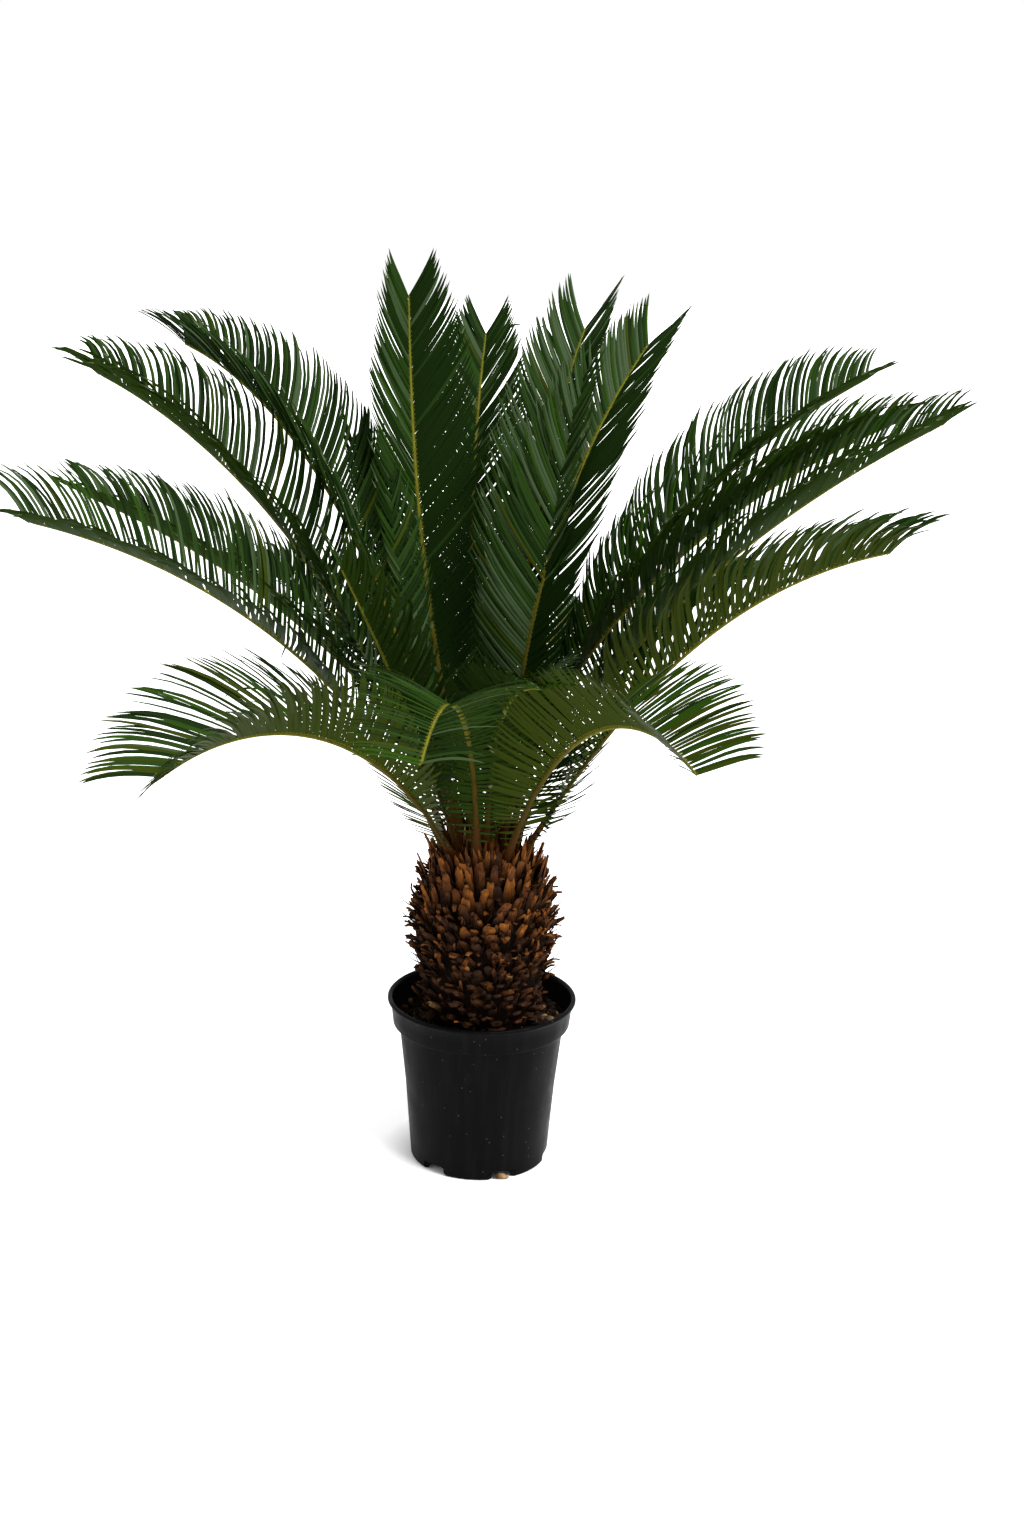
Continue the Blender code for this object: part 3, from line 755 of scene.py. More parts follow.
# ---------------------------------------------------------------- compost
@dataclass
class Compost:
    """The pot's filling, with bark chips, grit and fine roots on its top."""

    pot: Pot
    level: float = 0.203
    drop: float = 0.004
    trunk_edge: float = 0.070
    seam: float = 0.0006
    rings: int = 22
    steps: int = 240
    chips: int = 520
    chip_lengths: tuple[float, ...] = (0.0035, 0.0045, 0.006, 0.008, 0.011)
    chip_sides: int = 5
    fibres: int = 260
    fibre_steps: int = 5
    stub_reach: float = 0.0915
    stub_height: float = 0.0040
    stub_radii: tuple[float, ...] = (0.0030, 0.0038, 0.0040, 0.0034, 0.0024)
    seed: int = 11

    def edge(self) -> float:
        """How far out the top reaches, a hair inside the collar."""
        return self.pot.collar_foot - self.pot.wall - self.seam

    def top(self, radius: float, turn: float) -> float:
        """Finds how high the lumpy top stands.

        Args:
            radius: how far out.
            turn: the heading round the pot, in radians.

        Returns:
            The height there.
        """
        place = polar(radius, turn)
        lumps = noise.noise(place * 42.0) * 0.0040 + noise.noise(place * 130.0) * 0.0026
        crumbs = noise.noise(place * 420.0) * 0.0012
        fall = self.drop * ramp(radius, self.trunk_edge, self.edge())
        return self.level - fall + lumps + crumbs

    def body(self) -> bpy.types.Object:
        """The filling itself, turned and then roughened on top.

        Returns:
            The dressed piece.
        """
        pot = self.pot
        low = pot.gutter_top + pot.wall + 0.0013
        radii = [mix(0.045, self.edge(), index / self.rings) for index in range(self.rings + 1)]
        profile = [(0.002, self.level), *[(radius, self.level) for radius in radii]]
        profile += [
            (self.edge(), pot.collar_level + 0.0044),
            (pot.body_top - pot.wall + 0.0008, pot.collar_level + 0.0018),
            (pot.body_top - pot.wall - 0.0004, pot.collar_level - 0.0022),
            (pot.body_foot - pot.wall - self.seam, low),
            (pot.floor - 0.0022, low),
            (pot.floor - 0.0026, pot.wall + 0.0003),
            (0.002, pot.wall + 0.0003),
        ]
        body = turned("compost_fill", profile, self.steps)
        for vert in body.data.vertices:
            if vert.co.z > self.level - 0.0001 and vert.co.xy.length > 0.01:
                vert.co.z = self.top(vert.co.xy.length, math.atan2(vert.co.y, vert.co.x))
        body.data.shade_smooth()
        body.data.materials.append(CompostFinish().material())
        return body

    def litter(self) -> bpy.types.Object:
        """Bark chips and crumbs that lie on the top, tilted every way.

        Returns:
            The dressed piece.
        """
        rng = random.Random(self.seed)
        skein = Skein()
        for _ in range(self.chips):
            radius = math.sqrt(rng.uniform(self.trunk_edge**2, (self.edge() - 0.004) ** 2))
            turn = rng.uniform(0.0, math.tau)
            length = rng.choice(self.chip_lengths) * rng.uniform(0.8, 1.2)
            size = (length, length * rng.uniform(0.35, 0.7), length * rng.uniform(0.2, 0.4))
            centre = polar(radius, turn, self.top(radius, turn) + size[2] * 0.3)
            axis = polar(1.0, rng.uniform(0, math.tau), rng.uniform(-0.5, 0.5))
            facing = Quaternion(axis, rng.uniform(0, math.tau))
            shade = rng.choices((0, 1, 2, 3), (58, 26, 10, 6))[0]
            rings = []
            for end, girth in ((-0.5, 0.7), (-0.2, 1.0), (0.3, 0.95), (0.5, 0.6)):
                outline = [
                    (math.cos(t) * size[1] * girth * rng.uniform(0.8, 1.2), math.sin(t) * size[2] * girth)
                    for t in (math.tau * side / self.chip_sides for side in range(self.chip_sides))
                ]
                middle = Vector((0, 0, end * size[0]))
                rings.append(section(middle, Vector((1, 0, 0)), Vector((0, 1, 0)), outline))
            skein.sleeve([[centre + facing @ p for p in ring] for ring in rings], [shade])
        finishes = (
            BarkFinish("chip_dark", (0.020, 0.012, 0.008), (0.010, 0.007, 0.005)),
            BarkFinish("chip_brown", (0.050, 0.026, 0.014), (0.024, 0.013, 0.008)),
            BarkFinish("chip_red", (0.12, 0.048, 0.020), (0.06, 0.024, 0.012)),
            BarkFinish("chip_tan", (0.30, 0.20, 0.115), (0.16, 0.10, 0.055)),
        )
        return skein.build("bark_chips", [finish.material() for finish in finishes], crease=35.0)

    def roots(self) -> bpy.types.Object:
        """Fine dry roots and fibres that lie over the compost, and the stub in a notch.

        Returns:
            The dressed piece.
        """
        rng = random.Random(self.seed + 1)
        skein = Skein()
        for _ in range(self.fibres):
            radius = rng.uniform(self.trunk_edge + 0.004, self.edge() - 0.010)
            turn = rng.uniform(0.0, math.tau)
            heading = rng.uniform(0.0, math.tau)
            length = rng.uniform(0.010, 0.034)
            path = []
            place = polar(radius, turn)
            for step in range(self.fibre_steps + 1):
                reach = min(place.xy.length, self.edge() - 0.003)
                bearing = math.atan2(place.y, place.x)
                here = polar(reach, bearing)
                lift = 0.0006 + 0.006 * math.sin(math.pi * step / self.fibre_steps) * rng.random()
                path.append(here + UP * (self.top(reach, bearing) + lift))
                heading += rng.uniform(-0.7, 0.7)
                place = here + polar(length / self.fibre_steps, heading)
            thick = rng.uniform(0.00022, 0.0005)
            radii = [thick * (1.0 - 0.12 * step) for step in range(self.fibre_steps)]
            skein.tube(path, radii, 3, rng.choice((0, 0, 1)))
        skein.tube(self.stub(), self.stub_radii, 6, 2)
        finishes = (
            BarkFinish("root_brown", (0.10, 0.055, 0.028), (0.05, 0.028, 0.015)),
            BarkFinish("root_pale", (0.34, 0.24, 0.13), (0.20, 0.13, 0.07)),
            BarkFinish("root_tan", (0.36, 0.22, 0.11), (0.20, 0.11, 0.05)),
        )
        return skein.build("fine_roots", [finish.material() for finish in finishes])

    def stub(self) -> list[Vector]:
        """The path of a thick tan root that lies in the first drainage notch.

        Returns:
            Its points.
        """
        turn = math.radians(self.pot.first_notch)
        path = []
        for step in range(len(self.stub_radii) + 1):
            height = self.stub_height + 0.0016 * math.sin(step)
            path.append(polar(self.stub_reach + 0.0014 * step, turn - 0.10 + 0.040 * step, height))
        return path

    def build(self) -> None:
        """Models and dresses the compost and what lies on it."""
        for piece in (self.body(), self.litter(), self.roots()):
            wear(piece, "compost", "compost")


# ---------------------------------------------------------------- trunk
class Husk(Enum):
    """The finishes of old leaf bases and husks, from fresh at the top to weathered at the foot."""

    RUST = BarkFinish("leaf_base_rust", (0.210, 0.074, 0.016), (0.105, 0.034, 0.008))
    CINNAMON = BarkFinish("leaf_base_cinnamon", (0.118, 0.042, 0.013), (0.056, 0.020, 0.007))
    UMBER = BarkFinish("leaf_base_umber", (0.066, 0.026, 0.011), (0.030, 0.012, 0.0055))
    DARK = BarkFinish("leaf_base_dark", (0.038, 0.017, 0.009), (0.015, 0.0075, 0.0045))
    STRAW = BarkFinish("leaf_base_straw", (0.300, 0.175, 0.075), (0.150, 0.070, 0.025))
    SPINE = BarkFinish("dried_spine", (0.020, 0.012, 0.007), (0.009, 0.005, 0.003), 0.6, 0.6)


# The finishes of leaf bases and torn husks: all but the spines'.
BASE_HUSKS = list(Husk)[:5]


@dataclass
class Stance:
    """How a leaf base or husk stands on the trunk: its place and its own directions."""

    place: Vector
    outward: Vector
    lean: float
    sway: float

    def turn(self, curl: float) -> tuple[Vector, Vector, Vector]:
        """The directions along, out of and across the blade, once it has curled outwards.

        Args:
            curl: how far it has curled, in radians.

        Returns:
            The three directions.
        """
        around = Vector((-self.outward.y, self.outward.x, 0.0))
        angle = self.lean - curl
        tangent = (self.outward * math.cos(angle) + UP * math.sin(angle) + around * self.sway).normalized()
        out = self.outward * math.sin(angle) - UP * math.cos(angle)
        out = (out - tangent * out.dot(tangent)).normalized()
        return tangent, out, out.cross(tangent)


@dataclass
class Trunk:
    """The stout trunk in its spiral of old leaf bases, with dried spines, hairs and torn husks.

    The tables go from 0 at its foot to 1 at its crown: how far old leaf bases stray and lean, in
    degrees, how long they are, and the weights of their finishes in the order of BASE_HUSKS.
    """

    foot: float = 0.2033
    crown: float = 0.439
    foot_radius: float = 0.073
    bulge_radius: float = 0.090
    bulge_level: float = 0.345
    crown_radius: float = 0.060
    foot_bow: float = 1.1
    crown_bow: float = 1.5
    rows: int = 40
    steps: int = 120
    bases: int = 640
    base_widths: Point2 = (0.0170, 0.0120)
    base_depths: Point2 = (0.0095, 0.0044)
    base_unrest: Table = ((0.0, 20.0), (0.5, 15.0), (0.8, 8.0), (1.0, 5.0))
    base_leans: Table = ((0.0, 50.0), (0.35, 56.0), (0.7, 72.0), (1.0, 84.0))
    base_lengths: Table = ((0.0, 0.020), (0.4, 0.027), (0.7, 0.036), (1.0, 0.048))
    base_weights: tuple[Table, ...] = (
        ((0, 0), (0.45, 2), (0.65, 16), (1, 56)),
        ((0, 0), (0.3, 5), (0.7, 36), (1, 30)),
        ((0, 16), (0.35, 42), (0.7, 32), (1, 10)),
        ((0, 84), (0.35, 52), (0.7, 16), (1, 4)),
        ((0, 0.8), (1, 0.8)),
    )
    crown_scales: int = 190
    scale_lengths: Point2 = (0.040, 0.030)
    scale_width: Point2 = (0.006, 0.011)
    husks: int = 460
    husk_length: Point2 = (0.012, 0.024)
    husk_width: Point2 = (0.004, 0.0095)
    husk_thickness: float = 0.0008
    thorns: int = 420
    thorn_length: Point2 = (0.014, 0.040)
    thorn_radius: Point2 = (0.0007, 0.0013)
    hair_length: Point2 = (0.030, 0.058)
    hair_radius: Point2 = (0.00026, 0.00040)
    crease: float = 50.0
    seed: int = 5

    def radius(self, level: float) -> float:
        """Finds the core's radius.

        Args:
            level: the height.

        Returns:
            The radius there.
        """
        if level < self.bulge_level:
            share = (self.bulge_level - level) / (self.bulge_level - self.foot)
            return mix(self.bulge_radius, self.foot_radius, max(0.0, share) ** self.foot_bow)
        share = min(1.0, (level - self.bulge_level) / (self.crown - self.bulge_level))
        return mix(self.bulge_radius, self.crown_radius, share**self.crown_bow)

    def core(self) -> bpy.types.Object:
        """The dark lumpy body that the leaf bases stand on.

        Returns:
            The dressed piece.
        """
        levels = [mix(self.crown, self.foot, index / self.rows) for index in range(self.rows + 1)]
        profile = [(0.002, self.crown), *[(self.radius(z) - 0.001, z) for z in levels], (0.002, self.foot)]
        core = turned("trunk_core", profile, self.steps)
        for vert in core.data.vertices:
            reach = vert.co.xy.length
            if reach > 0.01:
                lump = noise.noise(vert.co * 75.0) * 0.0030 + noise.noise(vert.co * 230.0) * 0.0015
                vert.co.xy *= (reach + lump - 0.002) / reach
        core.data.shade_smooth()
        core.data.materials.append(Husk.DARK.value.material())
        return core

    def stance(
        self, rng: random.Random, turn: float, level: float, sink: float, lean: float, sway: float = 0.4
    ) -> Stance:
        """Stands a blade on the trunk.

        Args:
            rng: the random numbers in use.
            turn: its heading round the trunk, in radians.
            level: its height.
            sink: how deep in the trunk it starts.
            lean: its angle above level, in degrees.
            sway: how far it may lean sideways.

        Returns:
            Where and how it stands.
        """
        outward = polar(1.0, turn)
        place = outward * (self.radius(level) - sink) + UP * level
        return Stance(place, outward, math.radians(lean), rng.uniform(-sway, sway))

    def leaf_base(self, skein: Skein, rng: random.Random, turn: float, level: float) -> None:
        """Adds one old leaf base: a thick strap that roots in the trunk and ends in a ragged cut.

        Args:
            skein: the piece that it joins.
            rng: the random numbers in use.
            turn: its heading round the trunk, in radians.
            level: its height.
        """
        height = ramp(level, self.foot, self.crown)
        unrest = table(self.base_unrest, height)
        lean = table(self.base_leans, height) + rng.gauss(0.0, unrest)
        length = table(self.base_lengths, height) * rng.uniform(0.7, 1.25)
        width = mix(*self.base_widths, height) * rng.uniform(0.7, 1.25)
        depth = mix(*self.base_depths, height) * rng.uniform(0.7, 1.3)
        curl = rng.gauss(0.15, 0.30) if height < 0.75 else rng.gauss(0.05, 0.14)
        stance = self.stance(rng, turn, level - 0.004, 0.009, lean, unrest / 30.0)
        place = stance.place
        rings = []
        before = 0.0
        for share, girth in ((0.0, 0.8), (0.3, 1.0), (0.55, 1.0), (0.78, 0.9), (0.92, 0.8), (1.0, 0.55)):
            tangent, out, across = stance.turn(curl * share**2)
            place = place + tangent * (share - before) * length
            before = share
            half = width * girth / 2
            thick = depth * mix(1.0, 0.5, share) / 2
            left = rng.uniform(0.8, 1.2)
            right = rng.uniform(0.8, 1.2)
            outline = (
                (half * right, -thick * 0.4), (half * 0.55, thick), (-half * 0.55, thick),
                (-half * left, -thick * 0.4), (-half * 0.5, -thick), (half * 0.5, -thick),
            )
            ring = section(place, across, out, outline)
            if share > 0.9:
                ring = [point + tangent * rng.uniform(-0.09, 0.09) * length for point in ring]
            rings.append(ring)
        weights = [table(weight, height) for weight in self.base_weights]
        skein.sleeve(rings, rng.choices(range(len(weights)), weights))

    def leaf_bases(self) -> list[bpy.types.Object]:
        """The spiral of leaf bases, in three bands from the foot up.

        Returns:
            The three dressed pieces.
        """
        rng = random.Random(self.seed)
        bands = [Skein(), Skein(), Skein()]
        for index in range(self.bases):
            share = index / (self.bases - 1)
            level = mix(self.foot + 0.004, self.crown - 0.020, share) + rng.uniform(-0.003, 0.003)
            turn = index * GOLDEN_ANGLE + rng.uniform(-0.06, 0.06)
            self.leaf_base(bands[min(2, int(share * 3))], rng, turn, level)
        names = ("leaf_bases_lower", "leaf_bases_middle", "leaf_bases_upper")
        materials = [husk.value.material() for husk in BASE_HUSKS]
        return [skein.build(name, materials, crease=self.crease) for skein, name in zip(bands, names)]

    def crown_bases(self) -> bpy.types.Object:
        """Upright leaf bases and pointed scales that fill the crown between the stalks.

        Returns:
            The dressed piece.
        """
        rng = random.Random(self.seed + 1)
        skein = Skein()
        for index in range(self.crown_scales):
            edge = math.sqrt((index + 0.5) / self.crown_scales)
            radius = (self.crown_radius + 0.002) * edge
            turn = index * GOLDEN_ANGLE
            outward = polar(1.0, turn)
            lean = mix(88.0, 70.0, edge) + rng.uniform(-9.0, 9.0)
            foot = outward * radius + UP * (self.crown - 0.008)
            stance = Stance(foot, outward, math.radians(lean), rng.uniform(-0.25, 0.25))
            tangent, out, across = stance.turn(0.0)
            length = mix(*self.scale_lengths, edge) * rng.uniform(0.7, 1.35)
            width = rng.uniform(*self.scale_width)
            rings = []
            for share, girth in ((0.0, 1.0), (0.35, 0.95), (0.65, 0.66), (0.88, 0.30)):
                half = width * girth / 2
                thick = 0.0022 * girth
                outline = (
                    (half, 0), (half * 0.5, thick), (-half * 0.5, thick),
                    (-half, 0), (0, -thick * 0.6),
                )
                rings.append(section(foot + tangent * length * share, across, out, outline))
            shades = rng.choices((0, 1, 2, 4), (38, 34, 24, 2))
            skein.sleeve(rings, shades, tip=foot + tangent * length)
        return skein.build("crown_bases", [husk.value.material() for husk in BASE_HUSKS], crease=self.crease)

    def spines(self) -> bpy.types.Object:
        """Dried needle-like spines that stand out between the leaf bases, and fine loose hairs.

        Returns:
            The dressed piece.
        """
        rng = random.Random(self.seed + 2)
        skein = Skein()
        for index in range(self.thorns):
            share = rng.random() ** 0.75
            level = mix(self.foot + 0.030, self.crown - 0.004, share)
            turn = rng.uniform(0.0, math.tau)
            fine = index % 3 == 0
            length = rng.uniform(*(self.hair_length if fine else self.thorn_length))
            thick = rng.uniform(*(self.hair_radius if fine else self.thorn_radius))
            stance = self.stance(rng, turn, level, -0.001, rng.uniform(20.0, 68.0))
            way, _, across = stance.turn(0.0)
            path = [stance.place]
            for _ in range(4):
                way = (way + UP * rng.uniform(0.0, 0.20) + across * rng.uniform(-0.16, 0.16)).normalized()
                path.append(path[-1] + way * length / 4)
            skein.tube(path, [thick, thick * 0.85, thick * 0.6, thick * 0.35], 4, 1 if fine else 0)
        materials = [Husk.SPINE.value.material(), Husk.UMBER.value.material()]
        return skein.build("dried_spines", materials)

    def torn_husks(self) -> bpy.types.Object:
        """Thin cupped husks that tear and curl away from the leaf bases.

        Returns:
            The dressed piece.
        """
        rng = random.Random(self.seed + 3)
        skein = Skein()
        for _ in range(self.husks):
            share = rng.triangular(0.06, 1.0, 0.55)
            level = mix(self.foot, self.crown - 0.004, share)
            turn = rng.uniform(0.0, math.tau)
            stance = self.stance(rng, turn, level, -0.002, rng.uniform(28.0, 82.0))
            bend = rng.gauss(0.5, 1.0)
            length = rng.uniform(*self.husk_length)
            width = rng.uniform(*self.husk_width)
            cup = rng.choice((-1.0, 1.0, 1.0)) * rng.uniform(0.0010, 0.0030)
            place = stance.place
            rings = []
            for index, girth in enumerate((0.7, 1.0, 0.95, 0.8, 0.5)):
                tangent, out, across = stance.turn(bend * (index / 4) ** 1.5)
                half = width * girth / 2 * rng.uniform(0.8, 1.2)
                rim = cup * (0.4 + index / 5)
                front = rim * 0.25 + self.husk_thickness / 2
                back = rim * 0.25 - self.husk_thickness / 2
                outline = (
                    (half, rim), (half * 0.5, front), (-half * 0.5, front),
                    (-half, rim), (-half * 0.5, back), (half * 0.5, back),
                )
                rings.append(section(place, across, out, outline))
                place = place + tangent * length / 4
            weights = (mix(2, 34, share), mix(10, 34, share), 28, mix(56, 6, share), 3)
            shade = rng.choices(range(5), weights)[0]
            pale_end = share > 0.3 and rng.random() < 0.6
            end_shade = max(0, shade - 1) if pale_end else shade
            skein.sleeve(rings, [shade, shade, shade, end_shade])
        return skein.build("torn_husks", [husk.value.material() for husk in BASE_HUSKS])

    def build(self) -> None:
        """Models and dresses the trunk."""
        pieces = [self.core(), *self.leaf_bases(), self.crown_bases(), self.spines(), self.torn_husks()]
        for piece in pieces:
            wear(piece, "leaf_bases", "trunk")


# ---------------------------------------------------------------- fronds
class AgeOrPaintedLight(Enum):
    """Tint settings of a row: how old its frond is, or a painted shade or sheen; each holds weights of the
    upper tints, and the underside.
    """

    MATURE = ((34, 40, 18, 6, 2), Tint.UNDER)
    # Painted shade: mostly the deepest tint, for back fronds and right rows that stand in shade.
    DARK = ((58, 30, 10, 0, 2), Tint.UNDER)
    # Painted shade: nearly all the deepest tint, for right rows deep in shade.
    SHADED = ((90, 8, 2, 0, 0), Tint.UNDER)
    # Painted sheen: much of the greyish bluish tint, for left rows that face the key lamp.
    SHEEN = ((16, 36, 42, 4, 2), Tint.UNDER)
    ARCHED = ((20, 30, 6, 14, 30), Tint.UNDER_OLIVE)
    YOUNG = ((8, 26, 0, 66, 0), Tint.UNDER)


# How far from the trunk's axis a frond's foot stands.
INNER = 0.022
MIDDLE = 0.037
OUTER = 0.053


@dataclass(frozen=True)
class Frond:
    """One frond: lengths in metres, angles in degrees, with the shape numbers of its solid.

    heading is where it leans, rise and tip are its angles above level at foot and end, and bend
    is below 1 where it bows early and above 1 where it bows late. sway turns the heading on the
    way. ring and seat say where its foot stands. vee, foot_vee and tip_vee lift the leaflet rows
    above the blade's plane, and roll turns the blade round its stalk, its right row up. Leaflets
    stand at the opening angle to the stalk, from foot to tip, and curl towards it. bare is the
    share of the stalk below the leaflets. They start at a share of their full length there, and
    past the shoulder they shorten, by the tail at the tip. One tint setting is for the left row and
    a second, where given, for the right one. Some settings tell how old the frond is; others paint
    light: a painted shade on rows and fronds that stand in shade, and a painted sheen on rows that
    face the key lamp. droop is how far leaflets sag, limp how far they stray, and twist how far
    those of the left and the right row turn on the way. spacing is the distance from pair to pair.
    An arched frond has two solids, one for its foot and one for its tip.
    """

    name: str
    heading: float
    length: float
    rise: float
    tip: float
    bend: float
    sway: float = 0.0
    ring: float = MIDDLE
    vee: float = 38.0
    foot_vee: float = -5.0
    leaflet: float = 0.15
    bare: float = 0.16
    seat: float | None = None
    tip_vee: float | None = None
    roll: float = 0.0
    opening: Point2 = (72.0, 38.0)
    curl: float = 32.0
    shoulder: float = 0.6
    tail: float = 0.45
    start: float = 0.35
    arched: bool = False
    # The tint setting of the left row, and of the right row where given: how old the frond is, or a painted
    # shade or sheen.
    age: AgeOrPaintedLight = AgeOrPaintedLight.MATURE
    right_age_or_painted_light: AgeOrPaintedLight | None = None
    droop: float = 0.30
    limp: float = 1.0
    twist: Point2 = (16.0, 16.0)
    spacing: float = 0.0065

    steps: ClassVar[int] = 96
    crown: ClassVar[float] = 0.4393
    lift: ClassVar[float] = 0.006

    def direction(self, share: float) -> Vector:
        """Finds the stalk's direction.

        Args:
            share: how far up its length.

        Returns:
            The direction there, one metre long.
        """
        rise = math.radians(mix(self.rise, self.tip, share**self.bend))
        heading = math.radians(self.heading + self.sway * share)
        level = math.cos(rise)
        return Vector((level * math.cos(heading), level * math.sin(heading), math.sin(rise)))

    def line(self) -> list[Vector]:
        """Follows the stalk's axis, from the top of its upright foot to its tip.

        Returns:
            Evenly spaced points.
        """
        seat = math.radians(self.heading if self.seat is None else self.seat)
        points = [polar(self.ring, seat, self.crown + self.lift)]
        for index in range(self.steps):
            share = (index + 0.5) / self.steps
            points.append(points[-1] + self.direction(share) * self.length / self.steps)
        return points

    def row_vee(self, way: float, side: int) -> float:
        """A row's lift above the blade's plane, in degrees, at a share of the leafy part."""
        outer = self.vee if self.tip_vee is None else mix(self.vee, self.tip_vee, way)
        return mix(self.foot_vee, outer + self.roll * side, min(1.0, way / 0.3))

    def leaflet_length(self, way: float) -> float:
        """A leaflet's length at a share of the leafy part: short at its foot and its tip."""
        late = max(0.0, way - self.shoulder) / (1.0 - self.shoulder)
        return self.leaflet * min(1.0, self.start + 1.7 * way) * (1.0 - self.tail * late**1.5)

    def row_age_or_painted_light(self, side: int) -> AgeOrPaintedLight:
        """What sets a row's tints: how old its frond is, or the painted shade or sheen on that row."""
        return self.right_age_or_painted_light if side == 1 and self.right_age_or_painted_light else self.age

    def nodes(self) -> list[str]:
        """The CAD nodes that this frond stands for."""
        return [f"{self.name}_foot", f"{self.name}_tip"] if self.arched else [self.name]


def point_on(line: Sequence[Vector], share: float) -> Vector:
    """Finds a point on a line of evenly spaced points.

    Args:
        line: its points.
        share: how far along it, from 0 to 1.

    Returns:
        The point there.
    """
    place = share * (len(line) - 1)
    index = min(int(place), len(line) - 2)
    return line[index].lerp(line[index + 1], place - index)


FRONDS = (
    Frond("frond_left_low", 196, 0.739, 65.5, 15.3, 1.05, 4, OUTER, 38, -12, 0.150, 0.14,
          roll=21, opening=(74, 54), tail=0.38, start=0.20, limp=1.2, twist=(-42, 16)),
    Frond("frond_left", 176, 0.700, 86, 22, 0.5, 0, MIDDLE, 42, -5, 0.132, 0.18,
          roll=13, opening=(68, 42), limp=1.2, twist=(-42, 16)),
    Frond("frond_left_upper", 163, 0.825, 68, 21, 1.5, -4, OUTER, 46, -5, 0.158, 0.20, 160,
          roll=8, opening=(70, 44), curl=36, tail=0.5, droop=0.5, limp=1.6, twist=(-40, 16)),
    Frond("frond_back_left_upper", 149, 0.855, 70, 12, 2.0, -10, MIDDLE, 47, -5, 0.160, 0.20,
          roll=-3, opening=(64, 40), tail=0.42, age=AgeOrPaintedLight.DARK, limp=0.6, twist=(46, 16)),
    Frond("frond_back_left_inner", 130, 0.574, 58, 70, 1.87, 0, MIDDLE, 40, -5, 0.120, 0.20, 126,
          opening=(60, 30), age=AgeOrPaintedLight.DARK),
    Frond("frond_back_left_tall", 121, 0.770, 58, 84, 1.3, -16, INNER, 37, -5, 0.155, 0.14,
          roll=-2, opening=(60, 37), curl=18, tail=0.50, right_age_or_painted_light=AgeOrPaintedLight.SHADED, droop=0.05, limp=0.6,
          spacing=0.0060),
    Frond("frond_back_tall", 101, 0.785, 60, 50, 1.1, -18, MIDDLE, 36, -5, 0.150, 0.14,
          opening=(60, 40), curl=18, tail=0.55, right_age_or_painted_light=AgeOrPaintedLight.DARK, droop=0.05, limp=0.8,
          spacing=0.0056),
    Frond("frond_back_right_tall", 62, 0.745, 75.4, 41.7, 2.97, 6, INNER, 34, -5, 0.135, 0.14, 80,
          opening=(54, 36), curl=18, tail=0.30, age=AgeOrPaintedLight.SHEEN, right_age_or_painted_light=AgeOrPaintedLight.DARK, droop=0.05, limp=0.8,
          spacing=0.0058),
    Frond("frond_back_right_upper", 50, 0.739, 89, 39.6, 1.24, 0, MIDDLE, 30, -5, 0.145, 0.14, 40,
          roll=-12, opening=(58, 34), curl=18, tail=0.45, age=AgeOrPaintedLight.SHEEN, right_age_or_painted_light=AgeOrPaintedLight.SHADED, droop=0.05,
          limp=0.8, spacing=0.0060),
    Frond("frond_right_upper", 18, 0.831, 88, 25.6, 0.74, 0, MIDDLE, 42, -5, 0.138, 0.18,
          roll=-14, opening=(60, 50), curl=36, shoulder=0.7, tail=0.62, start=0.1, twist=(16, -42)),
    Frond("frond_right", 4, 0.800, 86, 25, 0.70, -6, INNER, 46, -5, 0.150, 0.18,
          roll=-8, opening=(70, 42), tail=0.62, limp=1.3, twist=(16, -40)),
    Frond("frond_right_middle", -9, 0.821, 80.3, 29.8, 0.60, 0, MIDDLE, 40, -5, 0.150, 0.16,
          roll=-14, opening=(70, 40), tail=0.58, limp=1.1, twist=(16, -42)),
    Frond("frond_right_low", -24, 0.690, 59, 16.4, 1.83, -6, OUTER, 46, -25, 0.142, 0.08,
          opening=(70, 42), curl=34, tail=0.38, spacing=0.0072, right_age_or_painted_light=AgeOrPaintedLight.ARCHED, limp=1.4,
          twist=(-24, 10)),
    Frond("frond_front_right_arch", -58, 0.590, 63, -20, 1.35, -9, OUTER, 33, -5, 0.140, 0.12, tip_vee=42,
          roll=3, opening=(76, 68), curl=20, tail=0.38, arched=True, age=AgeOrPaintedLight.ARCHED, droop=0.15, limp=0.8,
          twist=(-26, 27), spacing=0.0068),
    Frond("frond_front_left_arch", -138, 0.560, 57, -24, 1.4, 4, OUTER, 48, -20, 0.180, 0.08, tip_vee=34,
          roll=-3, opening=(62, 46), curl=18, tail=0.45, start=0.25, arched=True, age=AgeOrPaintedLight.ARCHED, limp=0.8,
          twist=(10, -10), spacing=0.0058),
    Frond("frond_front_arch", -100, 0.520, 80, -38, 1.5, 0, OUTER, 26, -5, 0.126, 0.14,
          opening=(88, 86), curl=14, tail=0.3, arched=True, limp=1.2),
    Frond("frond_front_young", -86, 0.440, 80, 8, 1.2, 16, INNER, 30, -5, 0.120, 0.12,
          opening=(66, 34), age=AgeOrPaintedLight.YOUNG),
    Frond("frond_front_left_young", -152, 0.450, 70, 60, 1.2, 13, MIDDLE, 30, -5, 0.130, 0.14,
          opening=(66, 34), age=AgeOrPaintedLight.YOUNG),
    Frond("frond_back_right_low", 42, 0.580, 62, 2, 1.2, 0, OUTER, 32, -10, 0.145, 0.08, start=0.40),
    Frond("frond_back_low", 74, 0.600, 60, -22, 1.2, 0, OUTER, 32, -10, 0.145, 0.08, start=0.40, arched=True),
    Frond("frond_back_left_arch", 107, 0.610, 60, -16, 1.2, 0, OUTER, 32, -10, 0.145, 0.08, start=0.40,
          arched=True),
    Frond("frond_back_left_low", 134, 0.580, 62, 0, 1.2, 0, OUTER, 32, -10, 0.145, 0.08, start=0.40),
)


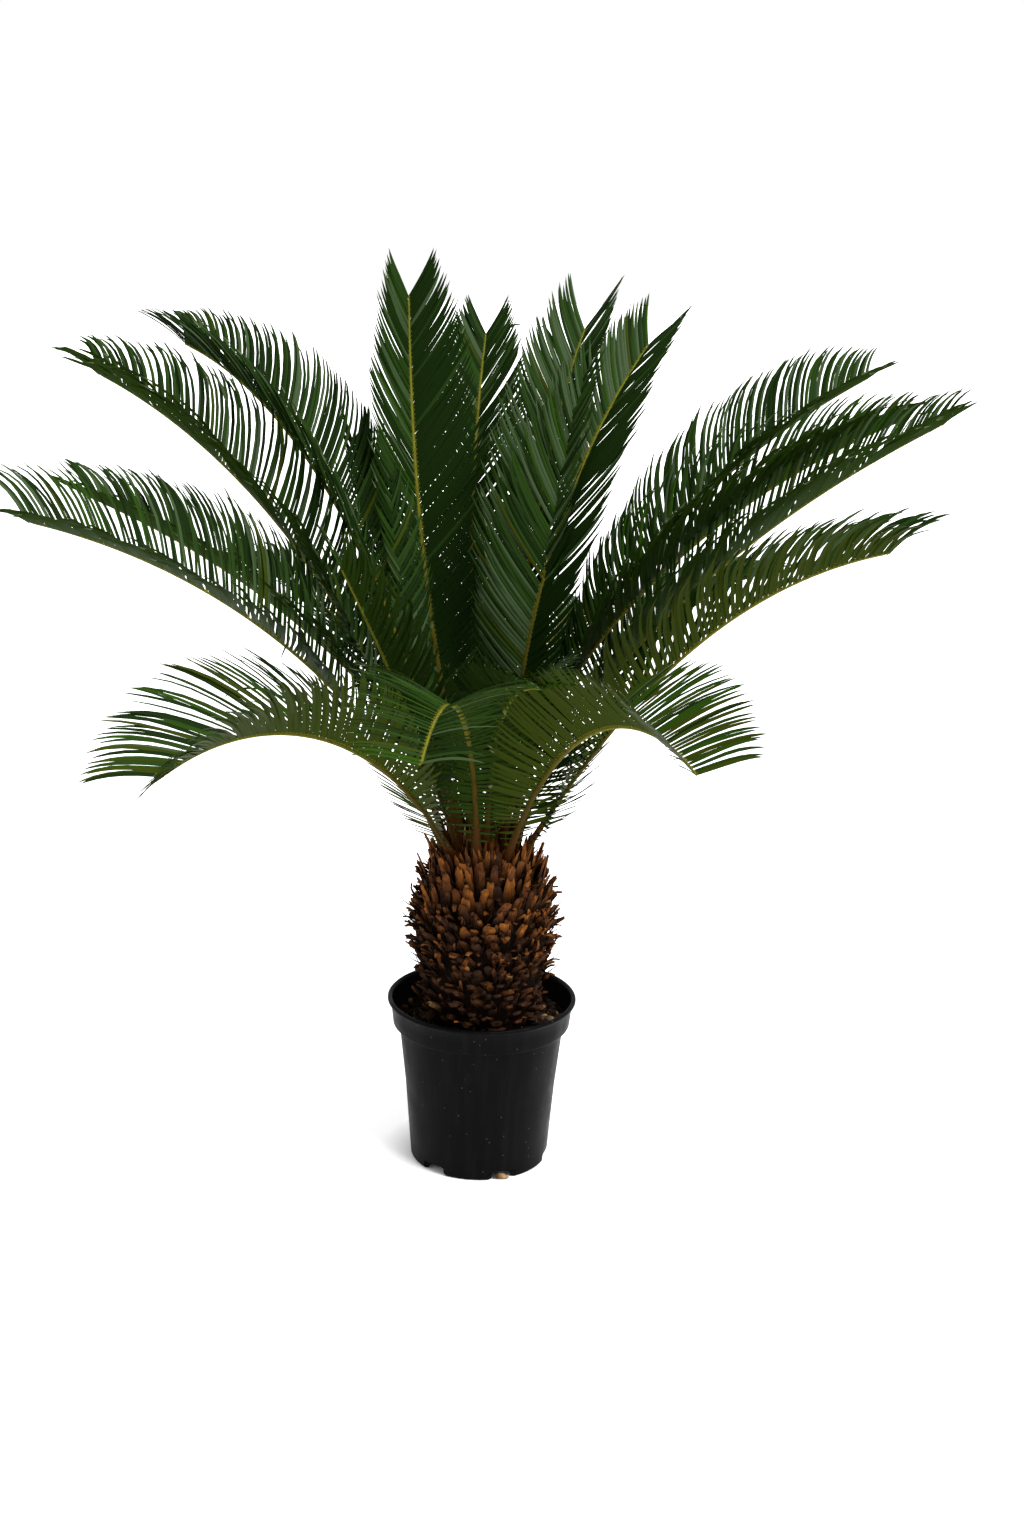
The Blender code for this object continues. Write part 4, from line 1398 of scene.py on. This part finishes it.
@dataclass
class Foliage:
    """Grows each frond's stalk and leaflets.

    A leaflet's rings stand at ring_shares of its length and have ring_widths of its width. Its
    edges fold down from the rib by a share of its half width, and a keel runs under the rib. It
    never lies closer to the stalk than closed, in degrees. Neighbours wander together, by so many
    degrees, and each one scatters on its own out of its row and in its opening. untidy is how far
    its twist strays at the stalk's foot and past untidy_reach of the leafy part. fallen, missing
    and dry are the shares of leaflets that have sunk, are lost or have a dry tip. All of these
    hold for a frond of limp 1.
    """

    leaflet_width: float = 0.0049
    fold: float = 0.34
    rib: float = 0.0003
    keel: float = 0.0004
    closed: float = 8.0
    wander: float = 5.0
    wander_scale: float = 9.0
    row_scatter: float = 1.4
    opening_scatter: float = 1.1
    untidy: Point2 = (30.0, 6.0)
    untidy_reach: float = 0.18
    fallen: float = 0.006
    fallen_droop: float = 1.1
    fallen_twist: float = 3.0
    missing: float = 0.012
    dry: float = 0.16
    first_seed: int = 100
    stalk_rings: int = 72
    stalk_sides: int = 10
    foot_spines: int = 5
    foot_radius: float = 0.0070
    middle_radius: float = 0.0036
    tip_radius: float = 0.0013
    swell: float = 0.12
    ring_shares: tuple[float, ...] = (0.0, 0.035, 0.15, 0.30, 0.47, 0.64, 0.79, 0.91)
    ring_widths: tuple[float, ...] = (0.80, 0.92, 1.0, 1.0, 1.0, 0.92, 0.74, 0.45)

    def stalk_radius(self, share: float) -> float:
        """Finds the stalk's radius, swollen at the foot and tapering to the tip.

        Args:
            share: how far up its length.

        Returns:
            The radius there.
        """
        if share < self.swell:
            return mix(self.foot_radius, self.middle_radius, share / self.swell)
        return mix(self.middle_radius, self.tip_radius, (share - self.swell) / (1 - self.swell))

    def stalk(self, frond: Frond, material: bpy.types.Material) -> bpy.types.Object:
        """The stalk: flat above and round below, from inside the crown to the frond's tip.

        Args:
            frond: the frond that it belongs to.
            material: its material.

        Returns:
            The dressed piece.
        """
        line = frond.line()
        skein = Skein()
        rings = []
        shares = [index / self.stalk_rings for index in range(self.stalk_rings)]
        for share in shares:
            forward = frond.direction(share)
            right = forward.cross(UP).normalized()
            up = right.cross(forward)
            radius = self.stalk_radius(share)
            outline = []
            for side in range(self.stalk_sides):
                turn = math.tau * side / self.stalk_sides
                flat = 0.62 if math.sin(turn) > 0.3 else 1.0
                outline.append((radius * 1.12 * math.cos(turn), radius * math.sin(turn) * flat))
            rings.append(section(point_on(line, share), right, up, outline))
        foot = [point - UP * (frond.lift + 0.004) for point in rings[0]]
        skein.sleeve([foot, *rings], [0], tip=line[-1], shares=[0.0, *shares])
        return skein.build(f"{frond.name}_stalk", [material])

    def leaflet(
        self, skein: Skein, frond: Frond, rng: random.Random, root: Vector, share: float, way: float,
        side: int, length: float, stray: float,
    ) -> None:
        """Adds one leaflet.

        Args:
            skein: the piece that it joins.
            frond: the frond that bears it.
            rng: the frond's own random numbers.
            root: where it leaves the stalk.
            share: how far up the stalk that is.
            way: how far up the leafy part that is.
            side: 1 on the right of the frond and -1 on its left.
            length: its length.
            stray: how far it leans out of its row, in degrees, with its neighbours.
        """
        forward = frond.direction(share)
        right = forward.cross(UP).normalized()
        up = right.cross(forward)
        scatter = rng.gauss(0.0, self.row_scatter) * frond.limp
        vee = math.radians(frond.row_vee(way, side) + stray * 0.7 + scatter)
        outward = right * side * math.cos(vee) + up * math.sin(vee)
        normal = outward.cross(forward) * side
        opening = mix(*frond.opening, way) + stray + rng.gauss(0.0, self.opening_scatter) * frond.limp
        curl = frond.curl * rng.uniform(0.85, 1.15)
        droop = frond.droop * rng.uniform(0.7, 1.3)
        wave = rng.gauss(0.0, 0.05) * frond.limp
        phase = rng.uniform(0.0, math.tau)
        untidy = mix(*self.untidy, ramp(way, 0.0, self.untidy_reach))
        twist = math.radians(rng.gauss(frond.twist[(side + 1) // 2], untidy)) * side
        if rng.random() < self.fallen * frond.limp:
            droop += self.fallen_droop
            twist *= self.fallen_twist
        width = self.leaflet_width * min(1.0, 0.55 + length / 0.16) * rng.uniform(0.88, 1.1)
        place = root
        rings = []
        before = 0.0
        for part, girth in zip((*self.ring_shares, 1.0), (*self.ring_widths, 0.0)):
            middle = (part + before) / 2
            angle = math.radians(max(self.closed, opening - curl * middle**2))
            heading = forward * math.cos(angle) + outward * math.sin(angle)
            heading += UP * -droop * middle**2 + normal * wave * math.sin(phase + 6.0 * middle)
            heading.normalize()
            place = place + heading * (part - before) * length
            before = part
            if girth == 0.0:
                break
            out = normal - heading * normal.dot(heading)
            out = Quaternion(heading, twist * (0.4 + part)) @ out.normalized()
            across = out.cross(heading)
            half = width * girth / 2
            fold = self.fold * half
            keel = -self.keel - 0.35 * fold
            outline = ((half, -fold), (0.0, self.rib), (-half, -fold), (0.0, keel))
            rings.append(section(place, across, out, outline))
        weights, under = frond.row_age_or_painted_light(side).value
        upper = TINTS[rng.choices(UPPER_TINTS, weights)[0]]
        self.sheathe(skein, rings, place, upper, under, rng.random() < self.dry * frond.limp)

    def sheathe(
        self,
        skein: Skein,
        rings: Sequence[Sequence[Vector]],
        tip: Vector,
        upper: Tint,
        under: Tint,
        dry: bool,
    ) -> None:
        """Closes a leaflet's rings into a blade with its upper and lower tints.

        Args:
            skein: the piece that it joins.
            rings: its rings of four points: front edge, upper rib, back edge, lower rib.
            tip: its point.
            upper: the tint above.
            under: the tint below.
            dry: whether its end has dried.
        """
        first = len(skein.points)
        for ring in rings:
            skein.points.extend(ring)
        skein.points.append(tip)
        skein.along.extend([0.0] * (len(rings) * 4 + 1))
        last = first + (len(rings) - 1) * 4
        top = TINTS.index(upper)
        low = TINTS.index(under)
        base = TINTS.index(Tint.BASE)
        end = TINTS.index(Tint.DRY)
        for row in range(len(rings) - 1):
            for index in range(4):
                here = first + row * 4 + index
                after = first + row * 4 + (index + 1) % 4
                skein.faces.append((here, after, after + 4, here + 4))
                skein.shades.append(base if row == 0 else (top if index < 2 else low))
        for index in range(4):
            skein.faces.append((last + index, last + (index + 1) % 4, len(skein.points) - 1))
            skein.shades.append(end if dry else (top if index < 2 else low))
        skein.faces.append((first + 3, first + 2, first + 1, first))
        skein.shades.append(base)

    def leaflets(
        self, frond: Frond, seed: int, materials: Sequence[bpy.types.Material]
    ) -> bpy.types.Object:
        """All leaflets of a frond, in two rows, and the short spines on its bare foot.

        Args:
            frond: the frond.
            seed: what its random numbers start from.
            materials: the tints, in their order.

        Returns:
            The dressed piece.
        """
        rng = random.Random(seed)
        line = frond.line()
        skein = Skein()
        pairs = round(frond.length * (1.0 - frond.bare) / frond.spacing)
        for side in (-1, 1):
            drift = rng.uniform(0.0, 100.0)
            for index in range(pairs):
                way = min(0.995, (index + 0.5 + 0.25 * side + rng.uniform(-0.12, 0.12)) / pairs)
                share = mix(frond.bare, 1.0, way)
                length = frond.leaflet_length(way) * rng.uniform(0.93, 1.05)
                ripple = noise.noise(Vector((drift, way * self.wander_scale, 0.0)))
                stray = ripple * self.wander * frond.limp
                if rng.random() > self.missing * frond.limp:
                    self.leaflet(skein, frond, rng, point_on(line, share), share, way, side, length, stray)
            for index in range(self.foot_spines):
                rise = index / (self.foot_spines - 1)
                share = frond.bare * mix(0.30, 0.96, rise)
                length = mix(0.010, 0.32 * frond.leaflet, rise) * rng.uniform(0.8, 1.1)
                self.leaflet(skein, frond, rng, point_on(line, share), share, 0.0, side, length, 0.0)
        return skein.build(f"{frond.name}_leaflets", materials)

    def build(self) -> None:
        """Models and dresses all fronds."""
        tints = [tint.value.material() for tint in TINTS]
        stalk = StalkFinish().material()
        for index, frond in enumerate(FRONDS):
            wear(self.stalk(frond, stalk), "leaf_green", *frond.nodes())
            leaflets = self.leaflets(frond, self.first_seed + index, tints)
            wear(leaflets, "leaf_green", *frond.nodes())


# ---------------------------------------------------------------- studio
@dataclass
class Studio:
    """The pale floor, the soft light and the camera."""

    focal_pixels: float = 2233.0
    picture_height: float = 1536.0
    sensor: float = 36.0
    camera_place: Point3 = (0.0341, -2.8665, 1.4153)
    pitch: float = 16.57
    roll: float = 1.38
    floor_radius: float = 14.0
    floor_gap: float = 0.0005
    floor_glow: float = 0.40
    # The floor's glow is nil within shade_edge of the axis and comes back over shade_width: a painted shadow
    # round and under the pot's foot.
    shade_edge: float = 0.092
    shade_width: float = 0.05
    surround: float = 1.0
    key: float = 4.2
    key_heading: float = -38.0
    key_height: float = 52.0
    key_spread: float = 28.0

    def floor(self) -> None:
        """A wide plain floor just under the pot, glowing like a softly lit white sweep; the glow fades out
        towards the pot's foot and is gone under it, a painted shadow there.
        """
        bpy.ops.object.select_all(action="DESELECT")
        bpy.ops.mesh.primitive_circle_add(
            vertices=96, radius=self.floor_radius, fill_type="NGON", location=(0, 0, -self.floor_gap)
        )
        floor = bpy.context.active_object
        floor.name = "floor"
        material, wiring, shader = new_material("pale_floor", 0.9, 0.05)
        shader.inputs["Base Color"].default_value = (0.92, 0.92, 0.92, 1.0)
        shader.inputs["Emission Color"].default_value = (1.0, 1.0, 1.0, 1.0)
        ring = wiring.add("ShaderNodeVectorMath", operation="LENGTH")
        wiring.join(wiring.place(), ring.inputs[0])
        # Painted shadow: no glow under the pot, seen through the notches, and a glow that rises outwards
        # beside it.
        lit_edge = self.shade_edge + self.shade_width
        glow = wiring.spread(ring.outputs["Value"], self.shade_edge, lit_edge, 0.0, self.floor_glow)
        wiring.join(glow, shader.inputs["Emission Strength"])
        floor.data.materials.append(material)

    def world(self) -> None:
        """Even white all round."""
        world = bpy.data.worlds.new("studio")
        world.use_nodes = True
        bpy.context.scene.world = world
        background = world.node_tree.nodes["Background"]
        background.inputs["Color"].default_value = (1.0, 1.0, 1.0, 1.0)
        background.inputs["Strength"].default_value = self.surround

    def sun(self, name: str, heading: float, height: float, spread: float, strength: float) -> None:
        """A distant soft lamp.

        Args:
            name: the lamp's name.
            heading: where it shines from, in degrees round the plant.
            height: how far it stands above level, in degrees.
            spread: how wide it looks from the plant, in degrees.
            strength: its irradiance.
        """
        light = bpy.data.lights.new(name, "SUN")
        light.angle = math.radians(spread)
        light.energy = strength
        lamp = bpy.data.objects.new(name, light)
        bpy.context.scene.collection.objects.link(lamp)
        rise = math.radians(height)
        place = polar(4.0 * math.cos(rise), math.radians(heading), 4.0 * math.sin(rise))
        lamp.location = place
        lamp.rotation_euler = place.to_track_quat("Z", "Y").to_euler()

    def camera(self) -> None:
        """The camera, pitched down at the plant and a little rolled."""
        data = bpy.data.cameras.new("camera")
        data.sensor_fit = "VERTICAL"
        data.sensor_height = self.sensor
        data.lens = self.sensor * self.focal_pixels / self.picture_height
        camera = bpy.data.objects.new("camera", data)
        bpy.context.scene.collection.objects.link(camera)
        pitch, roll = math.radians(self.pitch), math.radians(self.roll)
        forward = Vector((0.0, math.cos(pitch), -math.sin(pitch)))
        level_right = Vector((1.0, 0.0, 0.0))
        level_up = level_right.cross(forward)
        right = level_right * math.cos(roll) + level_up * math.sin(roll)
        up = level_up * math.cos(roll) - level_right * math.sin(roll)
        turn = Matrix((right, up, -forward)).transposed()
        camera.matrix_world = Matrix.Translation(self.camera_place) @ turn.to_4x4()
        bpy.context.scene.camera = camera

    def build(self) -> None:
        """Sets up the studio."""
        self.floor()
        self.world()
        self.sun("key", self.key_heading, self.key_height, self.key_spread, self.key)
        self.camera()
        bpy.context.scene.view_settings.view_transform = "Standard"


def main() -> None:
    """Builds the plant and its studio; each new piece logs its face count as it is put on."""
    logging.basicConfig(level=logging.INFO, format="%(name)s: %(message)s")
    pot = Pot()
    pot.build()
    Compost(pot).build()
    Trunk().build()
    Foliage().build()
    Studio().build()


if __name__ == "__main__":
    main()
